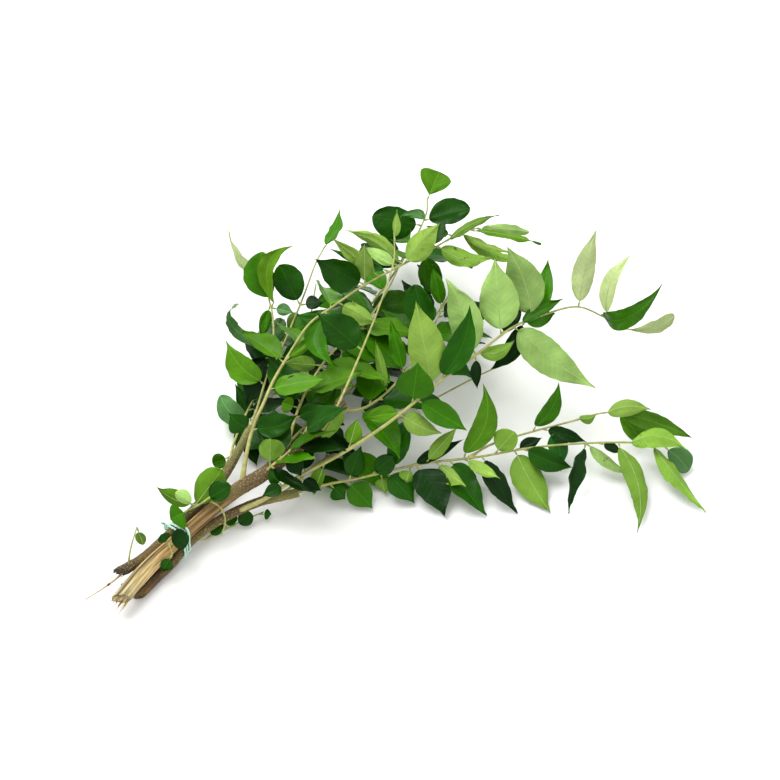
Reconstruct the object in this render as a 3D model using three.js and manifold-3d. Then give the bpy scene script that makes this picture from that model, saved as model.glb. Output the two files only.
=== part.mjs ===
// A bunch of curry leaf fronds on woody stems, tied with a thin string and lying on a surface.
// Millimetres, +Z up. +X runs from the cut stem ends to the leaf tips. The origin is in the middle
// of the flat underside of the lowest stem, on the surface that the bunch rests on.

import * as THREE from "three";
import Module from "manifold-3d";

const wasm = await Module();
wasm.setup();

// ---- Driving dimensions ----

const GAP = 0.3; // clear air between separate pieces
const BLADE_THICKNESS = 1.2; // a leaflet at its midrib
const LEAF_STALK = 2.6; // from the rachis axis to the foot of the blade
const STALK_HALF_WIDTH = 0.5;
const BLADE_STATIONS = [0.09, 0.36, 0.7]; // along the midrib, between foot and tip
const RACHIS_SIDES = 5;
const STEM_SIDES = 10;
const STRING_RADIUS = 0.55;
const STRAIGHT = 1e-6; // radians, the least bend that the curl formula takes

const WOOD = { color: 0x9a7748, roughness: 0.85, metalness: 0 };
const LEAF = { color: 0x2f6b22, roughness: 0.5, metalness: 0 };
const STALK = { color: 0xaab35e, roughness: 0.6, metalness: 0 };
const STRING = { color: 0xbdeed6, roughness: 0.7, metalness: 0 };

// Woody stems: the axis from the cut end, and the radius at both ends.
const WOODY_STEMS = [
  {
    name: "woody_stem_1",
    radius: [3.1, 2.7],
    points: [
      [-19, -7, 8.4], [0, -2, 8.9], [18, -0.4, 10.9], [45, 0, 15.5], [62, -3, 19], [84, -4, 24],
      [106, -4, 30],
    ],
  },
  {
    name: "woody_stem_2",
    radius: [2.2, 2],
    points: [
      [-11, -7.2, 2.6], [0, -5, 3], [9, -4, 3.9], [18, -1.8, 5.2], [33, -1.8, 7.1],
      [53, -5.8, 7.8], [70, -14.2, 8.5],
    ],
  },
  {
    name: "woody_stem_3",
    radius: [2.4, 1.8],
    points: [
      [-11, 0, 1.7], [-5, 0, 1.5], [5, 0, 1.5], [11, 1.6, 3.2], [18, 3.2, 5], [38, 9, 8],
      [54, 14, 10.5], [74, 22, 17],
    ],
  },
  {
    name: "woody_stem_4",
    radius: [2.1, 1.7],
    points: [[-11, 4.2, 7.8], [0, 3.9, 7.6], [18, 5.4, 9.8], [34, 7.5, 12.5], [47, 9, 16]],
  },
];

// A torn fibre of bark that trails from the cut end of the fourth stem.
const BARK_FIBRE = {
  radius: [0.7, 0.4],
  points: [[-8, 4, 7.6], [-13, 4.2, 5.6], [-19, 5.2, 3.4], [-28, 7.2, 0.8]],
};

// ---- Fronds ----
// Each frond has the axis of its rachis, starting inside the piece it grows from, and leaflets of
// two kinds. Those in "leaves" are set one by one: "at" runs 0..1 along the rachis, heading and
// rise point the midrib, roll turns the upper face about it (0 is face up, 180 underside up), curl
// bends the tip to the underside, and bow bends the midrib to the left of the upper face, as a share
// of the length; its outline is pointed if no shape is given. Those in "row" follow the rule in
// rowLeaves, and "fallen" lists the places in the row that have lost theirs.

const FRONDS = [
  {
    name: "frond_01",
    from: "woody_stem_2",
    radius: [1.1, 0.7],
    points: [
      [64, -11, 8.3], [81, -19, 9], [94, -26, 9], [118, -38, 9.6], [139, -53, 11],
      [158, -65, 12.4], [175, -78, 13.4], [192, -92, 13], [205, -102, 9],
    ],
    leaves: [
      { at: 0.21, heading: -82, rise: -23, length: 14, width: 12, roll: -11, curl: 10 },
      { at: 0.37, heading: -104, rise: -12, length: 24, width: 16, roll: -6, curl: 10, bow: 0.08 },
      { at: 0.44, heading: -99, rise: -12, length: 27, width: 14, roll: -2, curl: 10, bow: -0.05 },
      { at: 0.51, heading: -99, rise: -14, length: 27, width: 11, roll: 8, curl: 10, bow: -0.05 },
      { at: 0.59, heading: -102, rise: -23, length: 29, width: 15, roll: 178, curl: 8, bow: 0.02 },
      { at: 0.31, heading: -85, rise: -17, length: 16, width: 13, roll: 0, curl: 15 },
      { at: 0.61, heading: -60, rise: -7, length: 21, width: 11, roll: -28, curl: 20, bow: -0.06 },
      { at: 0.77, heading: -144, rise: -18, length: 30, width: 9, roll: 47, curl: 10, bow: -0.1 },
      { at: 0.85, heading: -123, rise: -9, length: 40, width: 10, roll: -172, curl: -15, bow: -0.11 },
      { at: 0.95, heading: -95, rise: -9, length: 36, width: 9, roll: -168, curl: -10, bow: 0.03 },
      { at: 0.77, heading: -66, rise: -27, length: 23, width: 6, roll: 169, curl: 15, bow: 0.06 },
      {
        at: 1, heading: -80, rise: -24, length: 13, width: 12, roll: -11, curl: 10,
        bow: 0.05, shape: "blunt",
      },
      { at: 0.87, heading: -60, rise: 22, length: 25, width: 10, roll: 159, curl: -50, bow: -0.14 },
      { at: 0.8, heading: -60, rise: -6, length: 9, width: 5, roll: -18, curl: 10, bow: -0.05 },
      { at: 0.22, heading: 15, rise: 56, length: 14, width: 10, roll: -17, curl: 10 },
      { at: 0.32, heading: 21, rise: 55, length: 20, width: 10, roll: -12, curl: 10, shape: "blunt" },
      { at: 0.39, heading: -14, rise: 48, length: 19, width: 7, roll: 153, curl: -15 },
      { at: 0.47, heading: 29, rise: 43, length: 32, width: 11, roll: -7, curl: -15, bow: -0.17 },
      { at: 0.54, heading: -11, rise: 44, length: 11, width: 11, roll: 150, curl: 5, shape: "blunt" },
      { at: 0.28, heading: -16, rise: 36, length: 10, width: 9, roll: -31, curl: 5, shape: "blunt" },
      { at: 0.41, heading: -90, rise: -6, length: 17, width: 8, roll: 171, curl: 10 },
      { at: 0.47, heading: -83, rise: 0, length: 18, width: 6, roll: 157, curl: 10 },
      { at: 0.14, heading: -81, rise: -22, length: 7, width: 8, roll: -20, curl: 10 },
      { at: 0.3, heading: -114, rise: -57, length: 7, width: 8, roll: 174, curl: 10 },
      { at: 0.59, heading: -15, rise: 2, length: 11, width: 6, roll: -26, curl: -30 },
      { at: 0.62, heading: -65, rise: -12, length: 16, width: 6, roll: -27, curl: -10, bow: 0.08 },
      { at: 0.36, heading: -151, rise: -15, length: 5, width: 7, roll: -157, curl: 10, shape: "blunt" },
      { at: 0.36, heading: -17, rise: 18, length: 23, width: 6, roll: -31, curl: -10 },
    ],
    row: null,
  },
  {
    name: "frond_02",
    from: "frond_01",
    radius: [1.0, 0.6],
    points: [
      [136, -50.8, 10.8], [146, -52, 11.8], [156, -56, 12.8], [167, -62, 14.8], [180, -70, 17.6],
      [190, -75, 18.8], [198, -79, 17.6],
    ],
    leaves: [
      { at: 1, heading: -57, rise: -9, length: 35, width: 9, roll: -29, curl: 25, bow: 0.02 },
      { at: 0.87, heading: -48, rise: 20, length: 19, width: 9, roll: 159, curl: -30, bow: -0.09 },
      { at: 0.47, heading: 11, rise: 42, length: 22, width: 8, roll: -18, curl: -5, bow: -0.12 },
      { at: 0.52, heading: -58, rise: -4, length: 18, width: 7, roll: -23, curl: 15 },
      { at: 0.67, heading: -31, rise: 21, length: 9, width: 5, roll: 150, curl: -40, bow: 0.15 },
      { at: 1, heading: -70, rise: -40, length: 18, width: 10, roll: -26, curl: 10, shape: "blunt" },
      { at: 0.58, heading: -117, rise: -40, length: 16, width: 10, roll: 0, curl: -10 },
    ],
    row: null,
  },
  {
    name: "frond_03",
    from: "woody_stem_2",
    radius: [1.6, 0.6],
    points: [
      [44, -3.6, 7.5], [56, -10, 13], [70, -14, 19], [88, -21, 26], [103, -25, 31],
      [118, -27, 35], [140, -28, 40], [159, -30, 44], [179, -31, 47], [195, -35, 47],
      [212, -38, 42], [225, -42, 30], [239, -44, 12],
    ],
    leaves: [
      { at: 0.84, heading: 30, rise: 44, length: 33, width: 11, roll: 174, curl: -10, bow: -0.03 },
      { at: 0.93, heading: 16, rise: 46, length: 29, width: 8, roll: 175, curl: -20, bow: -0.13 },
      { at: 0.92, heading: -126, rise: 66, length: 38, width: 10, roll: -102, curl: 92, bow: -0.24 },
      {
        at: 1, heading: -58, rise: 19, length: 23, width: 8, roll: 95, curl: -46,
        bow: 0.08, shape: "wedge",
      },
      { at: 0.67, heading: -64, rise: -32, length: 43, width: 16, roll: 148, curl: 8, bow: 0.03 },
      { at: 0.64, heading: 56, rise: 49, length: 31, width: 18, roll: -170, curl: 5 },
      { at: 0.72, heading: 76, rise: 42, length: 31, width: 17, roll: -154, curl: 5, bow: 0.06 },
      { at: 0.48, heading: 64, rise: 49, length: 36, width: 17, roll: -165, curl: 5 },
      { at: 0.5, heading: 19, rise: 51, length: 32, width: 13, roll: -14, curl: -5, bow: -0.1 },
      { at: 0.58, heading: 76, rise: 39, length: 33, width: 17, roll: -157, curl: 5, bow: 0.06 },
      { at: 0.74, heading: 39, rise: 26, length: 24, width: 8, roll: -1, curl: 0 },
      { at: 0.44, heading: 35, rise: 59, length: 16, width: 17, roll: -4, curl: 10 },
      { at: 0.64, heading: 19, rise: 7, length: 18, width: 8, roll: -11, curl: 5 },
      { at: 0.69, heading: -15, rise: -7, length: 15, width: 8, roll: -28, curl: 5 },
      { at: 0.58, heading: -123, rise: -67, length: 14, width: 5, roll: -7, curl: 5 },
      { at: 0.58, heading: -12, rise: -5, length: 17, width: 8, roll: 153, curl: 15, bow: 0.14 },
      { at: 0.68, heading: -13, rise: 13, length: 21, width: 6, roll: -15, curl: 10 },
      { at: 0.7, heading: 168, rise: -53, length: 27, width: 9, roll: 38, curl: 10, bow: 0.08 },
      { at: 0.22, heading: -160, rise: -41, length: 12, width: 6, roll: -142, curl: 10 },
      { at: 0.13, heading: 108, rise: 47, length: 7, width: 8, roll: 47, curl: 10 },
      { at: 0.27, heading: 28, rise: 33, length: 11, width: 8, roll: 172, curl: 10 },
      { at: 0.41, heading: -43, rise: -34, length: 19, width: 10, roll: 140, curl: 10, bow: 0.05 },
      { at: 0.42, heading: 139, rise: -14, length: 15, width: 8, roll: 41, curl: 10 },
      { at: 0.45, heading: -65, rise: -22, length: 23, width: 11, roll: -36, curl: 10 },
      { at: 0.14, heading: 159, rise: -4, length: 9, width: 7, roll: 37, curl: 10 },
      { at: 0.17, heading: -68, rise: -14, length: 9, width: 6, roll: -35, curl: 10 },
    ],
    row: null,
  },
  {
    name: "frond_04",
    from: "woody_stem_1",
    radius: [1.6, 0.6],
    points: [
      [50, -0.6, 16.5], [60, 7, 25], [69, 13, 30], [78, 17, 34], [88, 22, 37], [100, 26, 41],
      [115, 30, 46], [128, 29, 49], [145, 28, 51], [167, 26, 51], [188, 27, 47], [205, 29, 43],
      [217, 29, 38],
    ],
    leaves: [
      { at: 0.75, heading: 114, rise: 25, length: 28, width: 9, roll: -109, curl: 0, bow: 0.1 },
      { at: 0.96, heading: -49, rise: -17, length: 31, width: 6, roll: -170, curl: 15, bow: -0.1 },
      {
        at: 0.99, heading: -23, rise: -25, length: 26, width: 6, roll: 156, curl: 10,
        bow: -0.03, shape: "blunt",
      },
      { at: 0.86, heading: -18, rise: 8, length: 25, width: 5, roll: 174, curl: 10, bow: -0.1 },
      { at: 0.83, heading: -54, rise: -6, length: 25, width: 9, roll: 161, curl: 15, bow: 0.12 },
      { at: 0.91, heading: -57, rise: -13, length: 24, width: 5, roll: -178, curl: 0, bow: 0.06 },
      { at: 0.91, heading: -42, rise: -30, length: 34, width: 7, roll: 156, curl: 10, bow: 0.1 },
      { at: 0.7, heading: 112, rise: 32, length: 25, width: 7, roll: -134, curl: 0 },
      { at: 0.75, heading: -8, rise: 37, length: 22, width: 12, roll: 157, curl: 0, bow: -0.04 },
      { at: 0.67, heading: 124, rise: 25, length: 22, width: 16, roll: 55, curl: 12 },
      { at: 0.67, heading: 48, rise: 60, length: 16, width: 9, roll: -170, curl: 0 },
      { at: 0.6, heading: -57, rise: -26, length: 17, width: 11, roll: 161, curl: 10 },
      { at: 0.8, heading: -99, rise: -59, length: 21, width: 11, roll: -22, curl: 15 },
      { at: 0.74, heading: 108, rise: 19, length: 16, width: 6, roll: -146, curl: 10 },
      { at: 0.82, heading: 21, rise: 29, length: 13, width: 6, roll: -7, curl: 10 },
      { at: 0.56, heading: -119, rise: -3, length: 27, width: 11, roll: 0, curl: 15, bow: -0.3 },
      { at: 0.72, heading: 126, rise: 18, length: 26, width: 5, roll: 49, curl: 0 },
      { at: 0.89, heading: 129, rise: 20, length: 11, width: 5, roll: 50, curl: 10 },
      { at: 0.4, heading: -19, rise: 32, length: 16, width: 5, roll: -32, curl: 10 },
      { at: 0.15, heading: 121, rise: 39, length: 10, width: 10, roll: 46, curl: 15, bow: 0.1 },
      { at: 0.15, heading: -42, rise: 29, length: 19, width: 11, roll: -38, curl: 15, bow: -0.1 },
    ],
    row: {
      count: 8, from: 0.3, to: 0.95, spread: 62, rise: -8, length: 27, width: 0.52, roll: 0,
      seed: 17, fallen: [4, 6, 7],
    },
  },
  {
    name: "frond_05",
    from: "woody_stem_1",
    radius: [1.2, 0.5],
    points: [
      [82, -3.9, 23.5], [86, -9, 30], [93, -10, 37], [103, -7, 43], [122, 2, 50], [139, 11, 55],
      [158, 23, 59], [167, 32, 59.5], [173, 39, 58.5],
    ],
    leaves: [
      { at: 0.49, heading: 104, rise: 21, length: 23, width: 15, roll: 42, curl: 10 },
      { at: 0.88, heading: 42, rise: 40, length: 12, width: 5, roll: -144, curl: 0 },
      { at: 0.34, heading: -168, rise: -45, length: 18, width: 10, roll: -147, curl: 10 },
    ],
    row: null,
  },
  {
    name: "frond_06",
    from: "woody_stem_3",
    radius: [1.1, 0.6],
    points: [
      [69, 20, 15.4], [78, 24, 20], [88, 30, 25], [98, 37, 28], [109, 48, 29], [118, 60, 27],
      [124, 70, 25], [131, 80, 26],
    ],
    leaves: [
      { at: 0.94, heading: 101, rise: 35, length: 29, width: 6, roll: -104, curl: -20, bow: -0.14 },
      {
        at: 0.81, heading: 65, rise: 52, length: 21, width: 16, roll: 26, curl: 15,
        bow: 0.04, shape: "blunt",
      },
      { at: 0.76, heading: 5, rise: 39, length: 30, width: 11, roll: -7, curl: -15, bow: 0.32 },
      { at: 0.5, heading: 110, rise: 12, length: 41, width: 6, roll: 16, curl: -130, bow: 0.08 },
      { at: 0.3, heading: 100, rise: 33, length: 23, width: 13, roll: 41, curl: 10, bow: 0.1 },
      { at: 0.43, heading: -163, rise: -10, length: 20, width: 12, roll: 10, curl: 50 },
      { at: 0.46, heading: 153, rise: -11, length: 13, width: 5, roll: 58, curl: 10 },
      { at: 0.79, heading: -149, rise: -29, length: 14, width: 6, roll: 21, curl: 10 },
      { at: 0.76, heading: -57, rise: 0, length: 8, width: 6, roll: -29, curl: 10 },
      { at: 0.12, heading: -75, rise: 8, length: 10, width: 5, roll: 162, curl: 10 },
    ],
    row: {
      count: 4, from: 0.35, to: 0.85, spread: 45, rise: -8, length: 22, width: 0.5, roll: 0,
      seed: 19, fallen: [1, 2, 3],
    },
  },
  {
    name: "frond_07",
    from: "woody_stem_3",
    radius: [1.1, 0.6],
    points: [
      [56, 14.7, 11.1], [64, 23, 10.5], [80, 32, 14], [96, 38, 18], [110, 45, 20], [124, 53, 22],
      [138, 61, 25], [152, 70, 27], [162, 75, 28],
    ],
    leaves: [
      { at: 0.99, heading: 19, rise: 9, length: 19, width: 9, roll: 34, curl: -29 },
      { at: 0.7, heading: 84, rise: 37, length: 18, width: 14, roll: 32, curl: 5, shape: "blunt" },
      { at: 0.7, heading: -39, rise: 8, length: 8, width: 8, roll: -10, curl: 10 },
      { at: 0.07, heading: 164, rise: -5, length: 6, width: 8, roll: 46, curl: 15, shape: "blunt" },
      { at: 0.69, heading: -160, rise: -42, length: 11, width: 7, roll: -152, curl: 10 },
      { at: 0.21, heading: -152, rise: -33, length: 10, width: 5, roll: 18, curl: 10 },
    ],
    row: {
      count: 8, from: 0.25, to: 0.64, spread: 52, rise: -4, length: 25, width: 0.54, roll: 0,
      seed: 23, fallen: [1, 3, 7],
    },
  },
  {
    name: "frond_08",
    from: "woody_stem_1",
    radius: [1.4, 0.6],
    points: [
      [94, -4, 26.7], [104, 4, 26], [120, 17, 25], [140, 30, 24], [162, 38, 24], [183, 45, 26],
      [200, 52, 29], [210, 57, 32], [215, 62, 34],
    ],
    leaves: [
      { at: 0.99, heading: 18, rise: 39, length: 12, width: 16, roll: -9, curl: 5, shape: "wedge" },
      { at: 0.79, heading: 134, rise: 10, length: 21, width: 16, roll: 45, curl: 10, shape: "blunt" },
      { at: 0.82, heading: -33, rise: 14, length: 20, width: 13, roll: -29, curl: 10, shape: "blunt" },
      { at: 0.85, heading: -140, rise: 27, length: 16, width: 5, roll: 88, curl: 150, bow: -0.25 },
    ],
    row: {
      count: 12, from: 0.25, to: 0.8, spread: 60, rise: 0, length: 27, width: 0.55, roll: 0,
      seed: 29, fallen: [6, 10, 11],
    },
  },
  {
    name: "frond_09",
    from: "woody_stem_1",
    radius: [1.3, 0.6],
    points: [
      [102, -4, 28.9], [111, -9, 27], [122, -10, 27.5], [136, -8, 29], [152, -3, 32],
      [166, 3, 33], [178, 9, 34],
    ],
    leaves: [
      { at: 0.75, heading: 75, rise: 47, length: 20, width: 14, roll: 22, curl: 10, shape: "blunt" },
      { at: 0.92, heading: 67, rise: 49, length: 18, width: 7, roll: 17, curl: 10 },
      { at: 0.37, heading: 63, rise: 39, length: 21, width: 5, roll: -165, curl: 10 },
      { at: 0.51, heading: 71, rise: 51, length: 22, width: 7, roll: 20, curl: 10 },
    ],
    row: {
      count: 13, from: 0.16, to: 1.0, spread: 58, rise: 3, length: 28, width: 0.55, roll: 0,
      seed: 31, fallen: [4, 11, 12],
    },
  },
  {
    name: "frond_10",
    from: "woody_stem_2",
    radius: [1.1, 0.6],
    points: [
      [60, -9, 8.1], [72, -8, 5.5], [86, -6, 5.5], [104, -8, 6.5], [122, -12, 8.5],
      [146, -17, 12], [168, -22, 15], [184, -26, 16],
    ],
    leaves: [],
    row: {
      count: 9, from: 0.18, to: 0.6, spread: 58, rise: 1, length: 26, width: 0.55, roll: 0,
      seed: 37, fallen: [5, 6, 8],
    },
  },
  {
    name: "frond_11",
    from: "woody_stem_1",
    radius: [1.4, 0.6],
    points: [
      [68, -3.4, 20.4], [78, 4, 15], [92, 9, 12], [112, 11, 12], [136, 12, 14], [158, 12, 16],
      [176, 15, 18], [190, 20, 19],
    ],
    leaves: [
      { at: 0.38, heading: -71, rise: -9, length: 9, width: 8, roll: -30, curl: 10 },
    ],
    row: {
      count: 17, from: 0.16, to: 1.0, spread: 60, rise: 1, length: 28, width: 0.55, roll: 0,
      seed: 41, fallen: [4, 11, 16],
    },
  },
  {
    name: "frond_12",
    from: "woody_stem_3",
    radius: [1.1, 0.6],
    points: [
      [40, 9.6, 8.2], [53, 18, 6], [70, 26, 6], [93, 34, 7.5], [115, 44, 10], [136, 56, 13],
      [152, 70, 14],
    ],
    leaves: [
      {
        at: 0.39, heading: 105, rise: 40, length: 17, width: 11, roll: 38, curl: 15,
        bow: 0.08, shape: "blunt",
      },
      { at: 0.41, heading: 79, rise: 46, length: 17, width: 7, roll: 19, curl: 10 },
      { at: 0.36, heading: -108, rise: -12, length: 13, width: 7, roll: -1, curl: 10 },
    ],
    row: {
      count: 13, from: 0.3, to: 1.0, spread: 52, rise: 1, length: 26, width: 0.55, roll: 0,
      seed: 43, fallen: [9, 11, 12],
    },
  },
  {
    name: "frond_13",
    from: "woody_stem_1",
    radius: [1.3, 0.6],
    points: [
      [73, -3.6, 21.5], [84, 4, 29], [98, 11, 34], [116, 17, 37], [136, 19, 38], [158, 27, 39],
      [178, 38, 39],
    ],
    leaves: [
      { at: 0.32, heading: 134, rise: 16, length: 8, width: 11, roll: 41, curl: 10, shape: "blunt" },
      { at: 0.44, heading: 134, rise: 3, length: 14, width: 8, roll: -130, curl: 10 },
      { at: 0.41, heading: -59, rise: -13, length: 15, width: 8, roll: 152, curl: 10 },
      { at: 0.55, heading: -88, rise: -26, length: 10, width: 5, roll: -17, curl: 10 },
      { at: 0.61, heading: 44, rise: 43, length: 14, width: 6, roll: -172, curl: 10 },
      { at: 0.39, heading: -137, rise: -29, length: 13, width: 8, roll: 8, curl: 10 },
      { at: 0.18, heading: -32, rise: 25, length: 14, width: 8, roll: -35, curl: 10 },
      { at: 0.23, heading: 132, rise: 22, length: 5, width: 8, roll: 46, curl: 10, shape: "blunt" },
    ],
    row: {
      count: 15, from: 0.2, to: 1.0, spread: 62, rise: 2, length: 28, width: 0.55, roll: 0,
      seed: 47, fallen: [0, 10, 12],
    },
  },
  {
    name: "frond_14",
    from: "woody_stem_1",
    radius: [1.0, 0.6],
    points: [
      [45, 0, 15.5], [41, 0.5, 20], [36, 1, 21.5], [32, 1.6, 20.5], [28, 3.1, 18.5],
      [25.7, 4.8, 17],
    ],
    leaves: [
      { at: 0.84, heading: 1, rise: 26, length: 18, width: 13, roll: 162, curl: 10, shape: "blunt" },
      { at: 0.56, heading: -36, rise: 39, length: 11, width: 9, roll: -35, curl: 15, shape: "blunt" },
      { at: 1, heading: -175, rise: -18, length: 7, width: 12, roll: 37, curl: 15, shape: "blunt" },
      { at: 0.78, heading: 108, rise: 12, length: 16, width: 8, roll: -126, curl: 20, bow: -0.12 },
      { at: 0.76, heading: 115, rise: 28, length: 8, width: 6, roll: -143, curl: 0, shape: "blunt" },
    ],
    row: null,
  },
  {
    name: "frond_15",
    from: "woody_stem_2",
    radius: [0.9, 0.5],
    points: [[24, -1.7, 6.1], [26.5, -3.2, 2.9], [36, -4.2, 2], [46, -6, 2], [55, -8.4, 2.3]],
    leaves: [
      { at: 0.62, heading: -19, rise: 24, length: 7, width: 7, roll: -26, curl: 10, shape: "blunt" },
      { at: 0.51, heading: 10, rise: 39, length: 6, width: 6, roll: -13, curl: 10, shape: "blunt" },
      { at: 0.3, heading: 6, rise: 37, length: 7, width: 5, roll: -16, curl: 10, shape: "blunt" },
      { at: 0.93, heading: -44, rise: 3, length: 3, width: 5, roll: 0, curl: 10 },
    ],
    row: null,
  },
  {
    name: "frond_16",
    from: "woody_stem_1",
    radius: [0.8, 0.5],
    points: [[10, -1.2, 9.9], [10, -2, 14.5], [9, -4.5, 15.6], [8, -7, 14]],
    leaves: [
      { at: 0.22, heading: 126, rise: 20, length: 4, width: 6, roll: 39, curl: 15, shape: "blunt" },
      { at: 0.22, heading: -35, rise: 29, length: 8, width: 9, roll: -42, curl: 15, shape: "blunt" },
      { at: 1, heading: 173, rise: -55, length: 7, width: 6, roll: 36, curl: 10 },
    ],
    row: null,
  },
  {
    name: "frond_17",
    from: "woody_stem_1",
    radius: [1.1, 0.6],
    points: [[60, -2.6, 18.5], [64, -5, 24], [72, -6, 27], [80, -5, 29], [90, -1, 31]],
    leaves: [
      { at: 0.2, heading: 45, rise: 52, length: 10, width: 12, roll: 178, curl: 5, shape: "blunt" },
      { at: 0.22, heading: -87, rise: 2, length: 22, width: 7, roll: 1, curl: 15, bow: -0.1 },
      { at: 0.49, heading: -98, rise: -25, length: 9, width: 8, roll: -16, curl: 10 },
    ],
    row: { count: 9, from: 0.3, to: 1.0, spread: 62, rise: 8, length: 22, width: 0.58, roll: 0, seed: 53 },
  },
  {
    name: "bare_petiole",
    from: "woody_stem_4",
    radius: [0.8, 0.6],
    points: [
      [30, 6.9, 12.2], [32.5, 4, 17.2], [35, 0, 19], [36.5, -4.5, 17], [35.5, -7.5, 12],
      [32, -8.6, 7],
    ],
    leaves: [],
    row: null,
  },
  {
    name: "stray_stalk",
    from: "woody_stem_4",
    radius: [0.9, 0.5],
    points: [[-7, 4, 7.8], [-6, 4.5, 12], [-3, 6, 17], [3, 9.5, 21]],
    leaves: [
      { at: 1, heading: -98, rise: -62, length: 6, width: 5, roll: 157, curl: 10, shape: "blunt" },
    ],
    row: null,
  },
];

// Changes of heading and rise, in degrees, tried in turn until a leaflet is clear of the others.
const TRIES = [
  [0, 0], [0, 7], [0, -7], [8, 0], [-8, 0], [8, 8], [-8, 8], [8, -8], [-8, -8], [0, 15],
  [0, -15], [16, 0], [-16, 0], [16, 12], [-16, 12], [16, -12], [-16, -12], [0, 24], [0, -24],
  [25, 6], [-25, 6], [25, 20], [-25, 20], [0, 34], [35, 0], [-35, 0], [20, 34], [-20, 34],
  [0, 46], [25, -22], [-25, -22],
];

// The swollen foot of a rachis: what it adds to the radius, and the share of the length it takes.
const FOOT_SWELLING = 0.5;
const FOOT_SHARE = 0.12;

// Powers of a leaflet's outline at its foot and at its tip: the larger, the slimmer that end.
const OUTLINES = {
  pointed: { foot: 0.62, tip: 1.12 },
  blunt: { foot: 0.62, tip: 0.6 },
  wedge: { foot: 1.1, tip: 0.42 },
};

// How leaflets in a row vary with their place along the rachis, and how far the seeded draws go.
const ROW_RULE = {
  endSize: 0.8,
  middleGain: 0.25,
  sizeDraw: 0.14,
  headingDraw: 16,
  slopeShare: 0.6,
  riseDraw: 18,
  widthDraw: 0.12,
  sideRoll: 12,
  rollDraw: 26,
  curl: 18,
  curlDraw: 20,
};
const FOLD = { middle: 10, setDraw: 8, rowDraw: 10 };
const TWIST = { setDraw: 12, rowDraw: 16 };

// The string: turns round the four stems at x, each a pitch further on and leaning along X. It
// stands clear of the bark by clearance.
const TIE = { x: 17, pitch: 1.5, turns: 2.6, lean: 2, startAngle: 60, stepsPerTurn: 20, clearance: 0.45 };

// ---- Shared helpers ----

const UP = new THREE.Vector3(0, 0, 1);
const radians = THREE.MathUtils.degToRad;
const degrees = THREE.MathUtils.radToDeg;

function vector([x, y, z]) {
  return new THREE.Vector3(x, y, z);
}

function routeCurve(points) {
  return new THREE.CatmullRomCurve3(points.map(vector), false, "catmullrom", 0.5);
}

// Seeded draws in -1..1, the same on every run.
function makeDraw(seed) {
  const modulus = 2147483647;
  let state = seed * 7919;
  return () => {
    state = (state * 48271) % modulus;
    return (2 * state) / modulus - 1;
  };
}

function solidFrom(positions, triangles) {
  const mesh = new wasm.Mesh({
    numProp: 3,
    vertProperties: new Float32Array(positions),
    triVerts: new Uint32Array(triangles),
  });
  return new wasm.Manifold(mesh);
}

// A tapered rod along a curve: rings of "sides" points, closed by a flat fan at both ends. "grow"
// makes it larger all round, and whatever would reach below the surface is flattened.
function rod(points, [startRadius, endRadius], sides, options = {}) {
  const { grow = 0, stations = points.length * 2, swelling = 0 } = options;
  const curve = routeCurve(points);
  const positions = [];
  for (let i = 0; i <= stations; i++) {
    const t = i / stations;
    const centre = curve.getPoint(t);
    const along = curve.getTangent(t);
    if (i === 0 || i === stations) centre.addScaledVector(along, i ? grow : -grow);
    const side = new THREE.Vector3().crossVectors(along, UP).normalize();
    const over = new THREE.Vector3().crossVectors(side, along);
    const foot = swelling * Math.max(0, 1 - t / FOOT_SHARE);
    const radius = THREE.MathUtils.lerp(startRadius, endRadius, t) + foot + grow;
    for (let k = 0; k < sides; k++) {
      const angle = ((k + 0.5) / sides) * 2 * Math.PI;
      const p = centre
        .clone()
        .addScaledVector(side, radius * Math.cos(angle))
        .addScaledVector(over, radius * Math.sin(angle));
      positions.push(p.x, p.y, Math.max(p.z, -grow));
    }
  }
  const triangles = [];
  for (let i = 0; i < stations; i++) {
    for (let k = 0; k < sides; k++) {
      const a = i * sides + k;
      const b = i * sides + ((k + 1) % sides);
      triangles.push(a, b + sides, b, a, a + sides, b + sides);
    }
  }
  const last = stations * sides;
  for (let k = 1; k < sides - 1; k++) {
    triangles.push(0, k, k + 1, last, last + k + 1, last + k);
  }
  return solidFrom(positions, triangles);
}

// ---- Leaflets ----

// Relative half width of a blade, 0 at the foot and the tip and 1 at its widest.
function outline(u, { foot, tip }) {
  const widest = foot / (foot + tip);
  const peak = widest ** foot * (1 - widest) ** tip;
  return (u ** foot * (1 - u) ** tip) / peak;
}

// The midrib direction, the upper face and the left side of a leaflet at its foot.
function leafAxes(leaf) {
  const heading = radians(leaf.heading);
  const rise = radians(leaf.rise);
  const roll = radians(leaf.roll);
  const along = new THREE.Vector3(
    Math.cos(heading) * Math.cos(rise),
    Math.sin(heading) * Math.cos(rise),
    Math.sin(rise),
  );
  const faceUp = UP.clone().addScaledVector(along, -along.z).normalize();
  const left = new THREE.Vector3().crossVectors(faceUp, along);
  const face = faceUp.clone().multiplyScalar(Math.cos(roll)).addScaledVector(left, Math.sin(roll));
  const side = left.multiplyScalar(Math.cos(roll)).addScaledVector(faceUp, -Math.sin(roll));
  return { along, face, side };
}

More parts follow.
